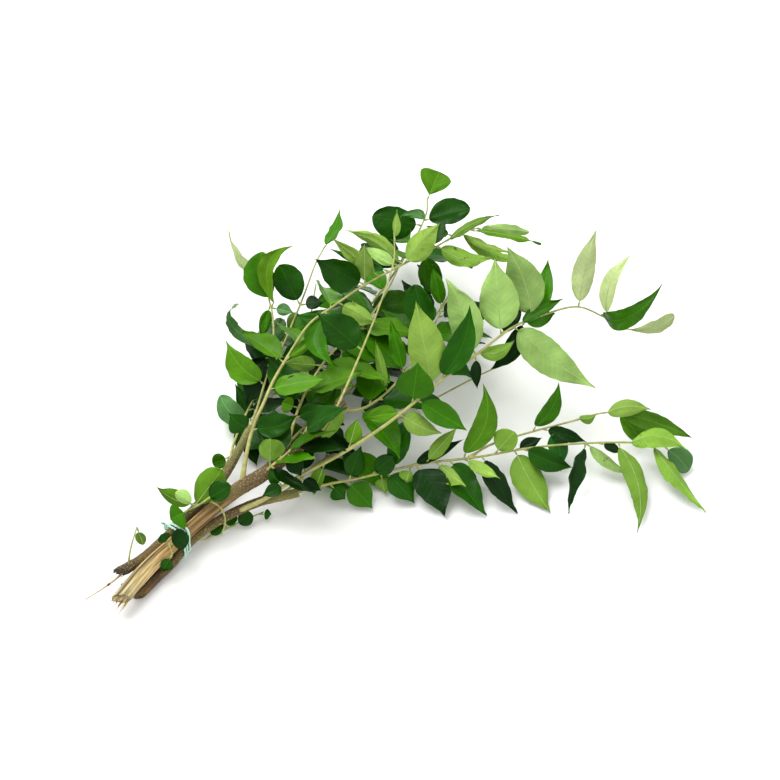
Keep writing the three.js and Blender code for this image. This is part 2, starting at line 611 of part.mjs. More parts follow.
// The solid of one leaflet: a short stalk and a blade with a ridge on both faces. "grow" makes it
// larger all round, to keep its neighbours clear.
function leafSolid(leaf, grow = 0, stalk = true) {
  const { along, face, side } = leafAxes(leaf);
  const foot = leaf.root.clone().addScaledVector(along, LEAF_STALK);
  const curl = radians(leaf.curl) || STRAIGHT;
  const lowest = BLADE_THICKNESS / 2;
  const positions = [];
  const keepAbove = (p) => p.setZ(Math.max(p.z, lowest));
  const addRing = (u, halfWidth, halfThickness) => {
    const bend = curl * Math.max(u, 0);
    const middle = foot
      .clone()
      .addScaledVector(along, u < 0 ? u * LEAF_STALK : (leaf.length * Math.sin(bend)) / curl)
      .addScaledVector(face, u < 0 ? 0 : (-leaf.length * (1 - Math.cos(bend))) / curl)
      .addScaledVector(side, u < 0 ? 0 : leaf.bow * leaf.length * 4 * u * (1 - u));
    const normal = face.clone().multiplyScalar(Math.cos(bend)).addScaledVector(along, Math.sin(bend));
    const twist = radians(leaf.twist) * Math.max(u, 0);
    const across = side.clone().multiplyScalar(Math.cos(twist)).addScaledVector(normal, Math.sin(twist));
    const outward = normal.multiplyScalar(Math.cos(twist)).addScaledVector(side, -Math.sin(twist));
    const fold = radians(leaf.fold);
    const reach = halfWidth * Math.cos(fold);
    const lift = halfWidth * Math.sin(fold);
    const left = keepAbove(middle.clone().addScaledVector(across, reach).addScaledVector(outward, lift));
    const right = keepAbove(middle.clone().addScaledVector(across, -reach).addScaledVector(outward, lift));
    keepAbove(middle);
    const top = middle.clone().addScaledVector(outward, halfThickness);
    const bottom = middle.clone().addScaledVector(outward, -halfThickness);
    for (const p of [left, top, right, bottom]) positions.push(p.x, p.y, p.z);
    return middle;
  };
  const thickness = BLADE_THICKNESS / 2 + grow;
  if (stalk) {
    addRing(-1, STALK_HALF_WIDTH + grow, STALK_HALF_WIDTH + grow);
    addRing(0, STALK_HALF_WIDTH + grow, STALK_HALF_WIDTH + grow);
  }
  const powers = OUTLINES[leaf.shape];
  for (const u of BLADE_STATIONS) {
    addRing(u, (leaf.width / 2) * outline(u, powers) + grow, thickness);
  }
  const tip = addRing(1, 0, 0);
  positions.length -= 12;
  positions.push(tip.x, tip.y, tip.z);
  return solidFrom(positions, bladeTriangles(positions.length / 3));
}

// Triangles of a blade made of rings (left, top, right, bottom) and a tip, split alike on both faces.
function bladeTriangles(pointCount) {
  const rings = (pointCount - 1) / 4;
  const triangles = [0, 2, 1, 0, 3, 2];
  for (let i = 0; i < rings - 1; i++) {
    const [left, top, right, bottom] = [0, 1, 2, 3].map((k) => i * 4 + k);
    triangles.push(left, top, top + 4, left, top + 4, left + 4);
    triangles.push(top, right, top + 4, right, right + 4, top + 4);
    triangles.push(right, bottom, bottom + 4, right, bottom + 4, right + 4);
    triangles.push(bottom, left, bottom + 4, left, left + 4, bottom + 4);
  }
  const last = (rings - 1) * 4;
  const tip = pointCount - 1;
  triangles.push(last, last + 1, tip, last + 1, last + 2, tip);
  triangles.push(last + 2, last + 3, tip, last + 3, last, tip);
  return triangles;
}

// Leaflets set one by one, with the small bends that the seeded draws add.
function setLeaves(frond, curve) {
  const draw = makeDraw(frond.name.length * 100 + frond.points.length); // any seed of its own
  return frond.leaves.map((leaf) => ({
    shape: "pointed",
    bow: 0,
    ...leaf,
    root: curve.getPoint(leaf.at),
    fold: FOLD.middle + FOLD.setDraw * draw(),
    twist: TWIST.setDraw * draw(),
  }));
}

// Leaflets in a row: left and right by turns, spread from the rachis, larger at the middle of the
// frond, with the last one in line with the rachis.
function rowLeaves(frond, curve) {
  if (!frond.row) return [];
  const { count, from, to, spread, rise, length, width, roll, seed, fallen = [] } = frond.row;
  const rule = ROW_RULE;
  const draw = makeDraw(seed);
  const leaves = [];
  for (let i = 0; i < count; i++) {
    const at = THREE.MathUtils.lerp(from, to, i / (count - 1));
    const along = curve.getTangent(at);
    const turn = i === count - 1 && to === 1 ? 0 : i % 2 ? 1 : -1;
    const place = rule.endSize + rule.middleGain * Math.sin(Math.PI * at);
    const size = place * (1 + rule.sizeDraw * draw());
    leaves.push({
      at,
      root: curve.getPoint(at),
      heading: degrees(Math.atan2(along.y, along.x)) + turn * spread + rule.headingDraw * draw(),
      rise: degrees(Math.asin(along.z)) * rule.slopeShare + rise + rule.riseDraw * draw(),
      length: length * size,
      width: length * size * width * (1 + rule.widthDraw * draw()),
      roll: roll - turn * rule.sideRoll + rule.rollDraw * draw(),
      curl: rule.curl + rule.curlDraw * draw(),
      fold: FOLD.middle + FOLD.rowDraw * draw(),
      twist: TWIST.rowDraw * draw(),
      bow: 0,
      shape: "pointed",
    });
  }
  return leaves.filter((leaf, i) => !fallen.includes(i));
}

// Places a frond's leaflets one after the other. A leaflet that would touch anything already
// placed is turned a little, by the tries in turn, and left out if none of them is clear.
function placeLeaves(frond, wanted, placed) {
  for (const leaf of wanted) {
    for (const [swing, lift] of TRIES) {
      const turned = { ...leaf, heading: leaf.heading + swing, rise: leaf.rise + lift };
      if (isClear(frond, turned, placed)) {
        const solid = leafSolid(turned);
        frond.leafSolids.push(solid);
        placed.push({ owner: frond.name, solid, blade: leafSolid(turned, 0, false) });
        break;
      }
    }
  }
}

function isClear(frond, leaf, placed) {
  const roomy = leafSolid(leaf, GAP);
  const blade = leafSolid(leaf, 0, false);
  return placed.every(({ owner, solid, blade: other }) => {
    if (owner !== frond.name) return roomy.intersect(solid).isEmpty();
    return other === null || blade.intersect(other).isEmpty();
  });
}

// ---- The pieces ----

function makeStems() {
  const stems = {};
  for (const { name, points, radius } of WOODY_STEMS) {
    stems[name] = {
      solid: rod(points, radius, STEM_SIDES),
      room: rod(points, radius, STEM_SIDES, { grow: GAP }),
    };
  }
  const fibre = rod(BARK_FIBRE.points, BARK_FIBRE.radius, RACHIS_SIDES);
  stems.woody_stem_4.solid = stems.woody_stem_4.solid.add(fibre);
  return stems;
}

function makeFronds(stems, tie) {
  const carriers = { ...stems };
  const placed = Object.entries(stems).map(([name, { solid }]) => ({ owner: name, solid, blade: null }));
  placed.push({ owner: "tie", solid: tie, blade: null });
  const fronds = FRONDS.map((data) => {
    const options = { swelling: FOOT_SWELLING, stations: data.points.length * 2 - 2 };
    const solid = rod(data.points, data.radius, RACHIS_SIDES, options);
    const room = rod(data.points, data.radius, RACHIS_SIDES, { ...options, grow: GAP });
    carriers[data.name] = { solid, room };
    placed.push({ owner: data.name, solid, blade: null });
    return { ...data, curve: routeCurve(data.points), rachis: solid, leafSolids: [] };
  });
  for (const frond of fronds) placeLeaves(frond, setLeaves(frond, frond.curve), placed);
  for (const frond of fronds) placeLeaves(frond, rowLeaves(frond, frond.curve), placed);
  return fronds.map((frond) => {
    const whole = frond.leafSolids.reduce((sum, leaf) => sum.add(leaf), frond.rachis);
    return [frond.name, whole.subtract(carriers[frond.from].room)];
  });
}

// Where a stem's axis crosses the plane at x: [y, z, radius there].
function sectionAt({ points, radius }, x) {
  const curve = routeCurve(points);
  let [low, high] = [0, 1];
  while (high - low > 1e-6) {
    const middle = (low + high) / 2;
    if (curve.getPoint(middle).x < x) low = middle;
    else high = middle;
  }
  const p = curve.getPoint(low);
  return [p.y, p.z, THREE.MathUtils.lerp(radius[0], radius[1], low)];
}

// The string is drawn tight round the stems: in each direction it lies against the outermost one.
function makeTie() {
  const points = [];
  const steps = Math.round(TIE.turns * TIE.stepsPerTurn);
  for (let i = 0; i <= steps; i++) {
    const turn = i / TIE.stepsPerTurn;
    const angle = radians(TIE.startAngle) + turn * 2 * Math.PI;
    const x = TIE.x + TIE.pitch * (turn - TIE.turns / 2) + TIE.lean * Math.sin(angle);
    const sections = WOODY_STEMS.map((stem) => sectionAt(stem, x));
    const reach = ([y, z, r]) => y * Math.cos(angle) + z * Math.sin(angle) + r;
    const [y, z, r] = sections.reduce((best, section) => (reach(section) > reach(best) ? section : best));
    const out = r + STRING_RADIUS + TIE.clearance;
    points.push([x, y + out * Math.cos(angle), z + out * Math.sin(angle)]);
  }
  return rod(points, [STRING_RADIUS, STRING_RADIUS], RACHIS_SIDES, { stations: steps });
}

function toMesh(name, solid, finish) {
  const { vertProperties, triVerts } = solid.getMesh();
  const geometry = new THREE.BufferGeometry();
  geometry.setAttribute("position", new THREE.BufferAttribute(vertProperties, 3));
  geometry.setIndex(new THREE.BufferAttribute(triVerts, 1));
  geometry.computeVertexNormals();
  const mesh = new THREE.Mesh(geometry, new THREE.MeshStandardMaterial(finish));
  mesh.name = name;
  return mesh;
}

const bunch = new THREE.Group();
bunch.name = "curry_leaf_bunch";
const stems = makeStems();
const tie = makeTie();
for (const [name, { solid }] of Object.entries(stems)) bunch.add(toMesh(name, solid, WOOD));
for (const [name, solid] of makeFronds(stems, tie)) {
  bunch.add(toMesh(name, solid, name.startsWith("frond") ? LEAF : STALK));
}
bunch.add(toMesh("tie", tie, STRING));

export default bunch;
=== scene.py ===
# A bunch of curry leaf fronds on woody stems, tied with a thin string and laid on a pale table.
# Lengths in the tables are millimetres in the frame's own axes. The meshes are in metres.

import math

import bpy
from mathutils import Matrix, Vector
from mathutils.kdtree import KDTree


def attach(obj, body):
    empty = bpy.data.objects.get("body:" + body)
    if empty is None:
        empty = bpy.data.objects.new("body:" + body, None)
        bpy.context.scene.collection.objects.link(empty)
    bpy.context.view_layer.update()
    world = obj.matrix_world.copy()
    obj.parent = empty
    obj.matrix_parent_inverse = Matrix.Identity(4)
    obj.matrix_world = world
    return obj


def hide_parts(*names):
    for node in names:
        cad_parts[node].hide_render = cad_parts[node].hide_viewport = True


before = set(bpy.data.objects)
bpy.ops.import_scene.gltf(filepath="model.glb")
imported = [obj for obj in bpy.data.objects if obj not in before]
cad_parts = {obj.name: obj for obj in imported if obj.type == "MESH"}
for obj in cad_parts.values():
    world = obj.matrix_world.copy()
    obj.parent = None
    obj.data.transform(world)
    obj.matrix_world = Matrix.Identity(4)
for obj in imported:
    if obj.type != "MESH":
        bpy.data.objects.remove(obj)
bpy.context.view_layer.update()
mm = 0.001
print("frame loaded:", len(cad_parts), "nodes")


def linearColour(hexColour):
    # sRGB hex to linear RGBA
    channels = [int(hexColour[i:i + 2], 16) / 255 for i in (0, 2, 4)]
    return [c / 12.92 if c <= 0.04045 else ((c + 0.055) / 1.055) ** 2.4 for c in channels] + [1.0]


def setNode(tree, node, values):
    # A value that is a node or a socket is linked to the input of that key. Any other value sets
    # the node's property or its input.
    for key, value in values.items():
        if isinstance(value, bpy.types.Node):
            tree.links.new(value.outputs[0], node.inputs[key])
        elif isinstance(value, bpy.types.NodeSocket):
            tree.links.new(value, node.inputs[key])
        elif isinstance(key, str) and hasattr(node, key):
            setattr(node, key, value)
        else:
            node.inputs[key].default_value = value
    return node


def addNode(tree, kind, values=None):
    # a kind may have its operation after it
    kind, _, operation = kind.partition(" ")
    node = tree.nodes.new(kind)
    if operation:
        node.operation = operation
    return setNode(tree, node, values or {})


def newMaterial(name, values):
    made = bpy.data.materials.new(name)
    made.use_nodes = True
    tree = made.node_tree
    return made, tree, setNode(tree, tree.nodes["Principled BSDF"], values)


def addToScene(name, data):
    made = bpy.data.objects.new(name, data)
    bpy.context.scene.collection.objects.link(made)
    return made


def mix(a, b, share):
    return a + (b - a) * share


def smooth(low, high, x):
    t = min(1, max(0, (x - low) / (high - low)))
    return t * t * (3 - 2 * t)


# ---- seeded draws and curves, the same as in the part's source ----

def makeDraw(seed):
    state = seed * 7919

    def draw():
        nonlocal state
        state = state * 48271 % 2147483647
        return 2 * state / 2147483647 - 1
    return draw


def curvePoint(points, t):
    # uniform Catmull-Rom, with the ends carried straight on
    place = (len(points) - 1) * t
    i = min(int(place), len(points) - 2)
    w = place - i
    p1, p2 = Vector(points[i]), Vector(points[i + 1])
    p0 = Vector(points[i - 1]) if i else p1 * 2 - p2
    p3 = Vector(points[i + 2]) if i + 2 < len(points) else p2 * 2 - p1
    v0, v1 = (p2 - p0) / 2, (p3 - p1) / 2
    return ((p1 - p2) * 2 + v0 + v1) * w**3 + ((p2 - p1) * 3 - v0 * 2 - v1) * w**2 + v0 * w + p1


def curveTangent(points, t):
    step = 1e-4
    ahead, behind = curvePoint(points, min(1, t + step)), curvePoint(points, max(0, t - step))
    return (ahead - behind).normalized()


def curveLength(points, steps=60):
    places = [curvePoint(points, i / steps) for i in range(steps + 1)]
    return sum((b - a).length for a, b in zip(places, places[1:]))


# ---- camera, table and light ----

view = {
    "target": (142.35, 7.52, 0), "distance": 837.96, "elevation": 50, "azimuth": -42,
    "lens": 85, "sensor": 36, "clipEnd": 20,
}
studio = {
    "tableColour": "f7f7f5", "tableRoughness": 0.9, "tableShine": 0.1, "tableSize": 6000,
    "skyColour": "ffffff", "skyStrength": 0.9,
    "keyWatts": 11.4, "keyPlace": (60, 520, 1050), "keySize": 760,
    "fillWatts": 1.2, "fillPlace": (700, -600, 700), "fillSize": 700,
}


def makeCamera():
    azimuth, elevation = math.radians(view["azimuth"]), math.radians(view["elevation"])
    back = Vector((math.sin(azimuth) * math.cos(elevation),
                   -math.cos(azimuth) * math.cos(elevation), math.sin(elevation)))
    data = bpy.data.cameras.new("camera")
    data.lens = view["lens"]
    data.sensor_width = view["sensor"]
    data.clip_end = view["clipEnd"]
    camera = addToScene("camera", data)
    camera.location = (Vector(view["target"]) + back * view["distance"]) * mm
    camera.rotation_euler = (math.pi / 2 - elevation, 0, azimuth)
    bpy.context.scene.camera = camera


def makeLight(name):
    data = bpy.data.lights.new(name, "AREA")
    data.energy = studio[name + "Watts"]
    data.size = studio[name + "Size"] * mm
    light = addToScene(name, data)
    light.location = Vector(studio[name + "Place"]) * mm
    aim = Vector(view["target"]) * mm - light.location
    light.rotation_euler = aim.to_track_quat("-Z", "Y").to_euler()


def makeStudio():
    # matt painted table top: a plain pale ground that only takes soft shadows
    half = studio["tableSize"] / 2 * mm
    data = bpy.data.meshes.new("table")
    corners = [(-half, -half, 0), (half, -half, 0), (half, half, 0), (-half, half, 0)]
    data.from_pydata(corners, [], [(0, 1, 2, 3)])
    paint, _, _ = newMaterial("mattTablePaint", {
        "Base Color": linearColour(studio["tableColour"]),
        "Roughness": studio["tableRoughness"], "Specular IOR Level": studio["tableShine"]})
    data.materials.append(paint)
    table = addToScene("table", data)
    world = bpy.data.worlds.new("softSky")
    world.use_nodes = True
    setNode(world.node_tree, world.node_tree.nodes["Background"], {
        "Color": linearColour(studio["skyColour"]), "Strength": studio["skyStrength"]})
    bpy.context.scene.world = world
    makeLight("key")
    makeLight("fill")
    bpy.context.scene.view_settings.view_transform = "Standard"


makeCamera()
makeStudio()
print("camera, table and light made")


# ---- what the bunch is made of: the places given, as in the part's source ----

def leaflet(at, heading, rise, length, width, roll, curl, tone, bow=0, shape="pointed", marks=0):
    # a leaflet set one by one; marks is how far brown blemishes cover it, 0 to 1
    return {"at": at, "heading": heading, "rise": rise, "length": length, "width": width,
            "roll": roll, "curl": curl, "tone": tone, "bow": bow, "shape": shape, "marks": marks}


def leafRow(count, start, end, spread, rise, length, width, roll, seed, tone):
    return {"count": count, "start": start, "end": end, "spread": spread, "rise": rise,
            "length": length, "width": width, "roll": roll, "seed": seed, "tone": tone}


woodyStems = [
    {"name": "woody_stem_1", "radius": (3.1, 2.7), "points": [
        (-19, -7, 8.4), (0, -2, 8.9), (18, -0.4, 10.9), (45, 0, 15.5), (62, -3, 19), (84, -4, 24),
        (106, -4, 30),
    ]},
    {"name": "woody_stem_2", "radius": (2.2, 2), "points": [
        (-11, -7.2, 2.6), (0, -5, 3), (9, -4, 3.9), (18, -1.8, 5.2), (33, -1.8, 7.1),
        (53, -5.8, 7.8), (70, -14.2, 8.5),
    ]},
    {"name": "woody_stem_3", "radius": (2.4, 1.8), "points": [
        (-11, 0, 1.7), (-5, 0, 1.5), (5, 0, 1.5), (11, 1.6, 3.2), (18, 3.2, 5), (38, 9, 8),
        (54, 14, 10.5), (74, 22, 17),
    ]},
    {"name": "woody_stem_4", "radius": (2.1, 1.7), "points": [
        (-11, 4.2, 7.8), (0, 3.9, 7.6), (18, 5.4, 9.8), (34, 7.5, 12.5), (47, 9, 16),
    ]},
]

fronds = [
    {"name": "frond_01", "radius": (1.1, 0.7), "points": [
        (64, -11, 8.3), (81, -19, 9), (94, -26, 9), (118, -38, 9.6), (139, -53, 11),
        (158, -65, 12.4), (175, -78, 13.4), (192, -92, 13), (205, -102, 9),
    ], "leaves": [
        leaflet(0.21, -82, -23, 14, 12, -11, 10, "mid"),
        leaflet(0.37, -104, -12, 24, 16, -6, 10, "deep", bow=0.08),
        leaflet(0.44, -99, -12, 27, 14, -2, 10, "dark", bow=-0.05),
        leaflet(0.51, -99, -14, 27, 11, 8, 10, "deep", bow=-0.05),
        leaflet(0.59, -102, -23, 29, 15, 178, 8, "fresh", bow=0.02),
        leaflet(0.31, -85, -17, 16, 13, 0, 15, "dark"),
        leaflet(0.61, -60, -7, 21, 11, -28, 20, "dark", bow=-0.06),
        leaflet(0.77, -144, -18, 30, 9, 47, 10, "deep", bow=-0.1),
        leaflet(0.85, -123, -9, 40, 10, -172, -15, "fresh", bow=-0.11),
        leaflet(0.95, -95, -9, 36, 9, -168, -10, "fresh", bow=0.03),
        leaflet(0.77, -66, -27, 23, 6, 169, 15, "pale", bow=0.06, marks=0.7),
        leaflet(1, -80, -24, 13, 12, -11, 10, "grey", bow=0.05, shape="blunt"),
        leaflet(0.87, -60, 22, 25, 10, 159, -50, "fresh", bow=-0.14, marks=0.5),
        leaflet(0.8, -60, -6, 9, 5, -18, 10, "deep", bow=-0.05),
        leaflet(0.22, 15, 56, 14, 10, -17, 10, "dark"),
        leaflet(0.32, 21, 55, 20, 10, -12, 10, "dark", shape="blunt"),
        leaflet(0.39, -14, 48, 19, 7, 153, -15, "fresh"),
        leaflet(0.47, 29, 43, 32, 11, -7, -15, "fresh", bow=-0.17),
        leaflet(0.54, -11, 44, 11, 11, 150, 5, "fresh", shape="blunt"),
        leaflet(0.28, -16, 36, 10, 9, -31, 5, "dark", shape="blunt"),
        leaflet(0.41, -90, -6, 17, 8, 171, 10, "bright"),
        leaflet(0.47, -83, 0, 18, 6, 157, 10, "bright"),
        leaflet(0.14, -81, -22, 7, 8, -20, 10, "dark"),
        leaflet(0.3, -114, -57, 7, 8, 174, 10, "fresh"),
        leaflet(0.59, -15, 2, 11, 6, -26, -30, "deep"),
        leaflet(0.62, -65, -12, 16, 6, -27, -10, "blue", bow=0.08),
        leaflet(0.36, -151, -15, 5, 7, -157, 10, "fresh", shape="blunt"),
        leaflet(0.36, -17, 18, 23, 6, -31, -10, "deep"),
    ], "row": None},
    {"name": "frond_02", "radius": (1, 0.6), "points": [
        (136, -50.8, 10.8), (146, -52, 11.8), (156, -56, 12.8), (167, -62, 14.8), (180, -70, 17.6),
        (190, -75, 18.8), (198, -79, 17.6),
    ], "leaves": [
        leaflet(1, -57, -9, 35, 9, -29, 25, "fresh", bow=0.02),
        leaflet(0.87, -48, 20, 19, 9, 159, -30, "bright", bow=-0.09),
        leaflet(0.47, 11, 42, 22, 8, -18, -5, "mid", bow=-0.12),
        leaflet(0.52, -58, -4, 18, 7, -23, 15, "deep"),
        leaflet(0.67, -31, 21, 9, 5, 150, -40, "fresh", bow=0.15),
        leaflet(1, -70, -40, 18, 10, -26, 10, "fresh", shape="blunt"),
        leaflet(0.58, -117, -40, 16, 10, 0, -10, "blue"),
    ], "row": None},
    {"name": "frond_03", "radius": (1.6, 0.6), "points": [
        (44, -3.6, 7.5), (56, -10, 13), (70, -14, 19), (88, -21, 26), (103, -25, 31),
        (118, -27, 35), (140, -28, 40), (159, -30, 44), (179, -31, 47), (195, -35, 47),
        (212, -38, 42), (225, -42, 30), (239, -44, 12),
    ], "leaves": [
        leaflet(0.84, 30, 44, 33, 11, 174, -10, "ghost", bow=-0.03),
        leaflet(0.93, 16, 46, 29, 8, 175, -20, "ghost", bow=-0.13),
        leaflet(0.92, -126, 66, 38, 10, -102, 92, "mid", bow=-0.24),
        leaflet(1, -58, 19, 23, 8, 95, -46, "ghost", bow=0.08, shape="wedge"),
        leaflet(0.67, -64, -32, 43, 16, 148, 8, "pale", bow=0.03),
        leaflet(0.64, 56, 49, 31, 18, -170, 5, "pale"),
        leaflet(0.72, 76, 42, 31, 17, -154, 5, "pale", bow=0.06),
        leaflet(0.48, 64, 49, 36, 17, -165, 5, "bright"),
        leaflet(0.5, 19, 51, 32, 13, -14, -5, "dark", bow=-0.1),
        leaflet(0.58, 76, 39, 33, 17, -157, 5, "pale", bow=0.06),
        leaflet(0.74, 39, 26, 24, 8, -1, 0, "mid"),
        leaflet(0.44, 35, 59, 16, 17, -4, 10, "mid"),
        leaflet(0.64, 19, 7, 18, 8, -11, 5, "deep"),
        leaflet(0.69, -15, -7, 15, 8, -28, 5, "mid"),
        leaflet(0.58, -123, -67, 14, 5, -7, 5, "deep"),
        leaflet(0.58, -12, -5, 17, 8, 153, 15, "fresh", bow=0.14),
        leaflet(0.68, -13, 13, 21, 6, -15, 10, "mid"),
        leaflet(0.7, 168, -53, 27, 9, 38, 10, "deep", bow=0.08),
        leaflet(0.22, -160, -41, 12, 6, -142, 10, "mid"),
        leaflet(0.13, 108, 47, 7, 8, 47, 10, "dark"),
        leaflet(0.27, 28, 33, 11, 8, 172, 10, "mid"),
        leaflet(0.41, -43, -34, 19, 10, 140, 10, "bright", bow=0.05),
        leaflet(0.42, 139, -14, 15, 8, 41, 10, "fresh"),
        leaflet(0.45, -65, -22, 23, 11, -36, 10, "mid"),
        leaflet(0.14, 159, -4, 9, 7, 37, 10, "dark"),
        leaflet(0.17, -68, -14, 9, 6, -35, 10, "deep"),
    ], "row": None},
    {"name": "frond_04", "radius": (1.6, 0.6), "points": [
        (50, -0.6, 16.5), (60, 7, 25), (69, 13, 30), (78, 17, 34), (88, 22, 37), (100, 26, 41),
        (115, 30, 46), (128, 29, 49), (145, 28, 51), (167, 26, 51), (188, 27, 47), (205, 29, 43),
        (217, 29, 38),
    ], "leaves": [
        leaflet(0.75, 114, 25, 28, 9, -109, 0, "bright", bow=0.1),
        leaflet(0.96, -49, -17, 31, 6, -170, 15, "mid", bow=-0.1),
        leaflet(0.99, -23, -25, 26, 6, 156, 10, "pale", bow=-0.03, shape="blunt"),
        leaflet(0.86, -18, 8, 25, 5, 174, 10, "fresh", bow=-0.1),
        leaflet(0.83, -54, -6, 25, 9, 161, 15, "fresh", bow=0.12, marks=0.8),
        leaflet(0.91, -57, -13, 24, 5, -178, 0, "bright", bow=0.06),
        leaflet(0.91, -42, -30, 34, 7, 156, 10, "fresh", bow=0.1, marks=0.4),
        leaflet(0.7, 112, 32, 25, 7, -134, 0, "bright"),
        leaflet(0.75, -8, 37, 22, 12, 157, 0, "bright", bow=-0.04, marks=0.2),
        leaflet(0.67, 124, 25, 22, 16, 55, 12, "dark"),
        leaflet(0.67, 48, 60, 16, 9, -170, 0, "bright"),
        leaflet(0.6, -57, -26, 17, 11, 161, 10, "bright"),
        leaflet(0.8, -99, -59, 21, 11, -22, 15, "mid"),
        leaflet(0.74, 108, 19, 16, 6, -146, 10, "pale"),
        leaflet(0.82, 21, 29, 13, 6, -7, 10, "dark"),
        leaflet(0.56, -119, -3, 27, 11, 0, 15, "mid", bow=-0.3),
        leaflet(0.72, 126, 18, 26, 5, 49, 0, "blue"),
        leaflet(0.89, 129, 20, 11, 5, 50, 10, "mid"),
        leaflet(0.4, -19, 32, 16, 5, -32, 10, "fresh"),
        leaflet(0.15, 121, 39, 10, 10, 46, 15, "dark", bow=0.1),
        leaflet(0.15, -42, 29, 19, 11, -38, 15, "dark", bow=-0.1),
    ], "row": leafRow(8, 0.3, 0.95, 62, -8, 27, 0.52, 0, 17, "fresh")},
    {"name": "frond_05", "radius": (1.2, 0.5), "points": [
        (82, -3.9, 23.5), (86, -9, 30), (93, -10, 37), (103, -7, 43), (122, 2, 50), (139, 11, 55),
        (158, 23, 59), (167, 32, 59.5), (173, 39, 58.5),
    ], "leaves": [
        leaflet(0.49, 104, 21, 23, 15, 42, 10, "dark"),
        leaflet(0.88, 42, 40, 12, 5, -144, 0, "bright"),
        leaflet(0.34, -168, -45, 18, 10, -147, 10, "fresh"),
    ], "row": None},
    {"name": "frond_06", "radius": (1.1, 0.6), "points": [
        (69, 20, 15.4), (78, 24, 20), (88, 30, 25), (98, 37, 28), (109, 48, 29), (118, 60, 27),
        (124, 70, 25), (131, 80, 26),
    ], "leaves": [
        leaflet(0.94, 101, 35, 29, 6, -104, -20, "ghost", bow=-0.14),
        leaflet(0.81, 65, 52, 21, 16, 26, 15, "mid", bow=0.04, shape="blunt"),
        leaflet(0.76, 5, 39, 30, 11, -7, -15, "bright", bow=0.32),
        leaflet(0.5, 110, 12, 41, 6, 16, -130, "grey", bow=0.08),
        leaflet(0.3, 100, 33, 23, 13, 41, 10, "fresh", bow=0.1),
        leaflet(0.43, -163, -10, 20, 12, 10, 50, "deep"),
        leaflet(0.46, 153, -11, 13, 5, 58, 10, "deep"),
        leaflet(0.79, -149, -29, 14, 6, 21, 10, "mid"),
        leaflet(0.76, -57, 0, 8, 6, -29, 10, "grey"),
        leaflet(0.12, -75, 8, 10, 5, 162, 10, "pale"),
    ], "row": leafRow(4, 0.35, 0.85, 45, -8, 22, 0.5, 0, 19, "dark")},
    {"name": "frond_07", "radius": (1.1, 0.6), "points": [
        (56, 14.7, 11.1), (64, 23, 10.5), (80, 32, 14), (96, 38, 18), (110, 45, 20), (124, 53, 22),
        (138, 61, 25), (152, 70, 27), (162, 75, 28),
    ], "leaves": [
        leaflet(0.99, 19, 9, 19, 9, 34, -29, "mid"),
        leaflet(0.7, 84, 37, 18, 14, 32, 5, "dark", shape="blunt"),
        leaflet(0.7, -39, 8, 8, 8, -10, 10, "deep"),
        leaflet(0.07, 164, -5, 6, 8, 46, 15, "mid", shape="blunt"),
        leaflet(0.69, -160, -42, 11, 7, -152, 10, "bright"),
        leaflet(0.21, -152, -33, 10, 5, 18, 10, "dark"),
    ], "row": leafRow(8, 0.25, 0.64, 52, -4, 25, 0.54, 0, 23, "dark")},
    {"name": "frond_08", "radius": (1.4, 0.6), "points": [
        (94, -4, 26.7), (104, 4, 26), (120, 17, 25), (140, 30, 24), (162, 38, 24), (183, 45, 26),
        (200, 52, 29), (210, 57, 32), (215, 62, 34),
    ], "leaves": [
        leaflet(0.99, 18, 39, 12, 16, -9, 5, "fresh", shape="wedge"),
        leaflet(0.79, 134, 10, 21, 16, 45, 10, "dark", shape="blunt"),
        leaflet(0.82, -33, 14, 20, 13, -29, 10, "dark", shape="blunt"),
        leaflet(0.85, -140, 27, 16, 5, 88, 150, "grey", bow=-0.25),
    ], "row": leafRow(12, 0.25, 0.8, 60, 0, 27, 0.55, 0, 29, "dark")},
    {"name": "frond_09", "radius": (1.3, 0.6), "points": [
        (102, -4, 28.9), (111, -9, 27), (122, -10, 27.5), (136, -8, 29), (152, -3, 32),
        (166, 3, 33), (178, 9, 34),
    ], "leaves": [
        leaflet(0.75, 75, 47, 20, 14, 22, 10, "dark", shape="blunt"),
        leaflet(0.92, 67, 49, 18, 7, 17, 10, "mid"),
        leaflet(0.37, 63, 39, 21, 5, -165, 10, "fresh"),
        leaflet(0.51, 71, 51, 22, 7, 20, 10, "mid"),
    ], "row": leafRow(13, 0.16, 1, 58, 3, 28, 0.55, 0, 31, "dark")},
    {"name": "frond_10", "radius": (1.1, 0.6), "points": [
        (60, -9, 8.1), (72, -8, 5.5), (86, -6, 5.5), (104, -8, 6.5), (122, -12, 8.5),
        (146, -17, 12), (168, -22, 15), (184, -26, 16),
    ], "leaves": [],
     "row": leafRow(9, 0.18, 0.6, 58, 1, 26, 0.55, 0, 37, "dark")},
    {"name": "frond_11", "radius": (1.4, 0.6), "points": [
        (68, -3.4, 20.4), (78, 4, 15), (92, 9, 12), (112, 11, 12), (136, 12, 14), (158, 12, 16),
        (176, 15, 18), (190, 20, 19),
    ], "leaves": [
        leaflet(0.38, -71, -9, 9, 8, -30, 10, "deep"),
    ], "row": leafRow(17, 0.16, 1, 60, 1, 28, 0.55, 0, 41, "deep")},
    {"name": "frond_12", "radius": (1.1, 0.6), "points": [
        (40, 9.6, 8.2), (53, 18, 6), (70, 26, 6), (93, 34, 7.5), (115, 44, 10), (136, 56, 13),
        (152, 70, 14),
    ], "leaves": [
        leaflet(0.39, 105, 40, 17, 11, 38, 15, "grey", bow=0.08, shape="blunt"),
        leaflet(0.41, 79, 46, 17, 7, 19, 10, "dark"),
        leaflet(0.36, -108, -12, 13, 7, -1, 10, "deep"),
    ], "row": leafRow(13, 0.3, 1, 52, 1, 26, 0.55, 0, 43, "dark")},
    {"name": "frond_13", "radius": (1.3, 0.6), "points": [
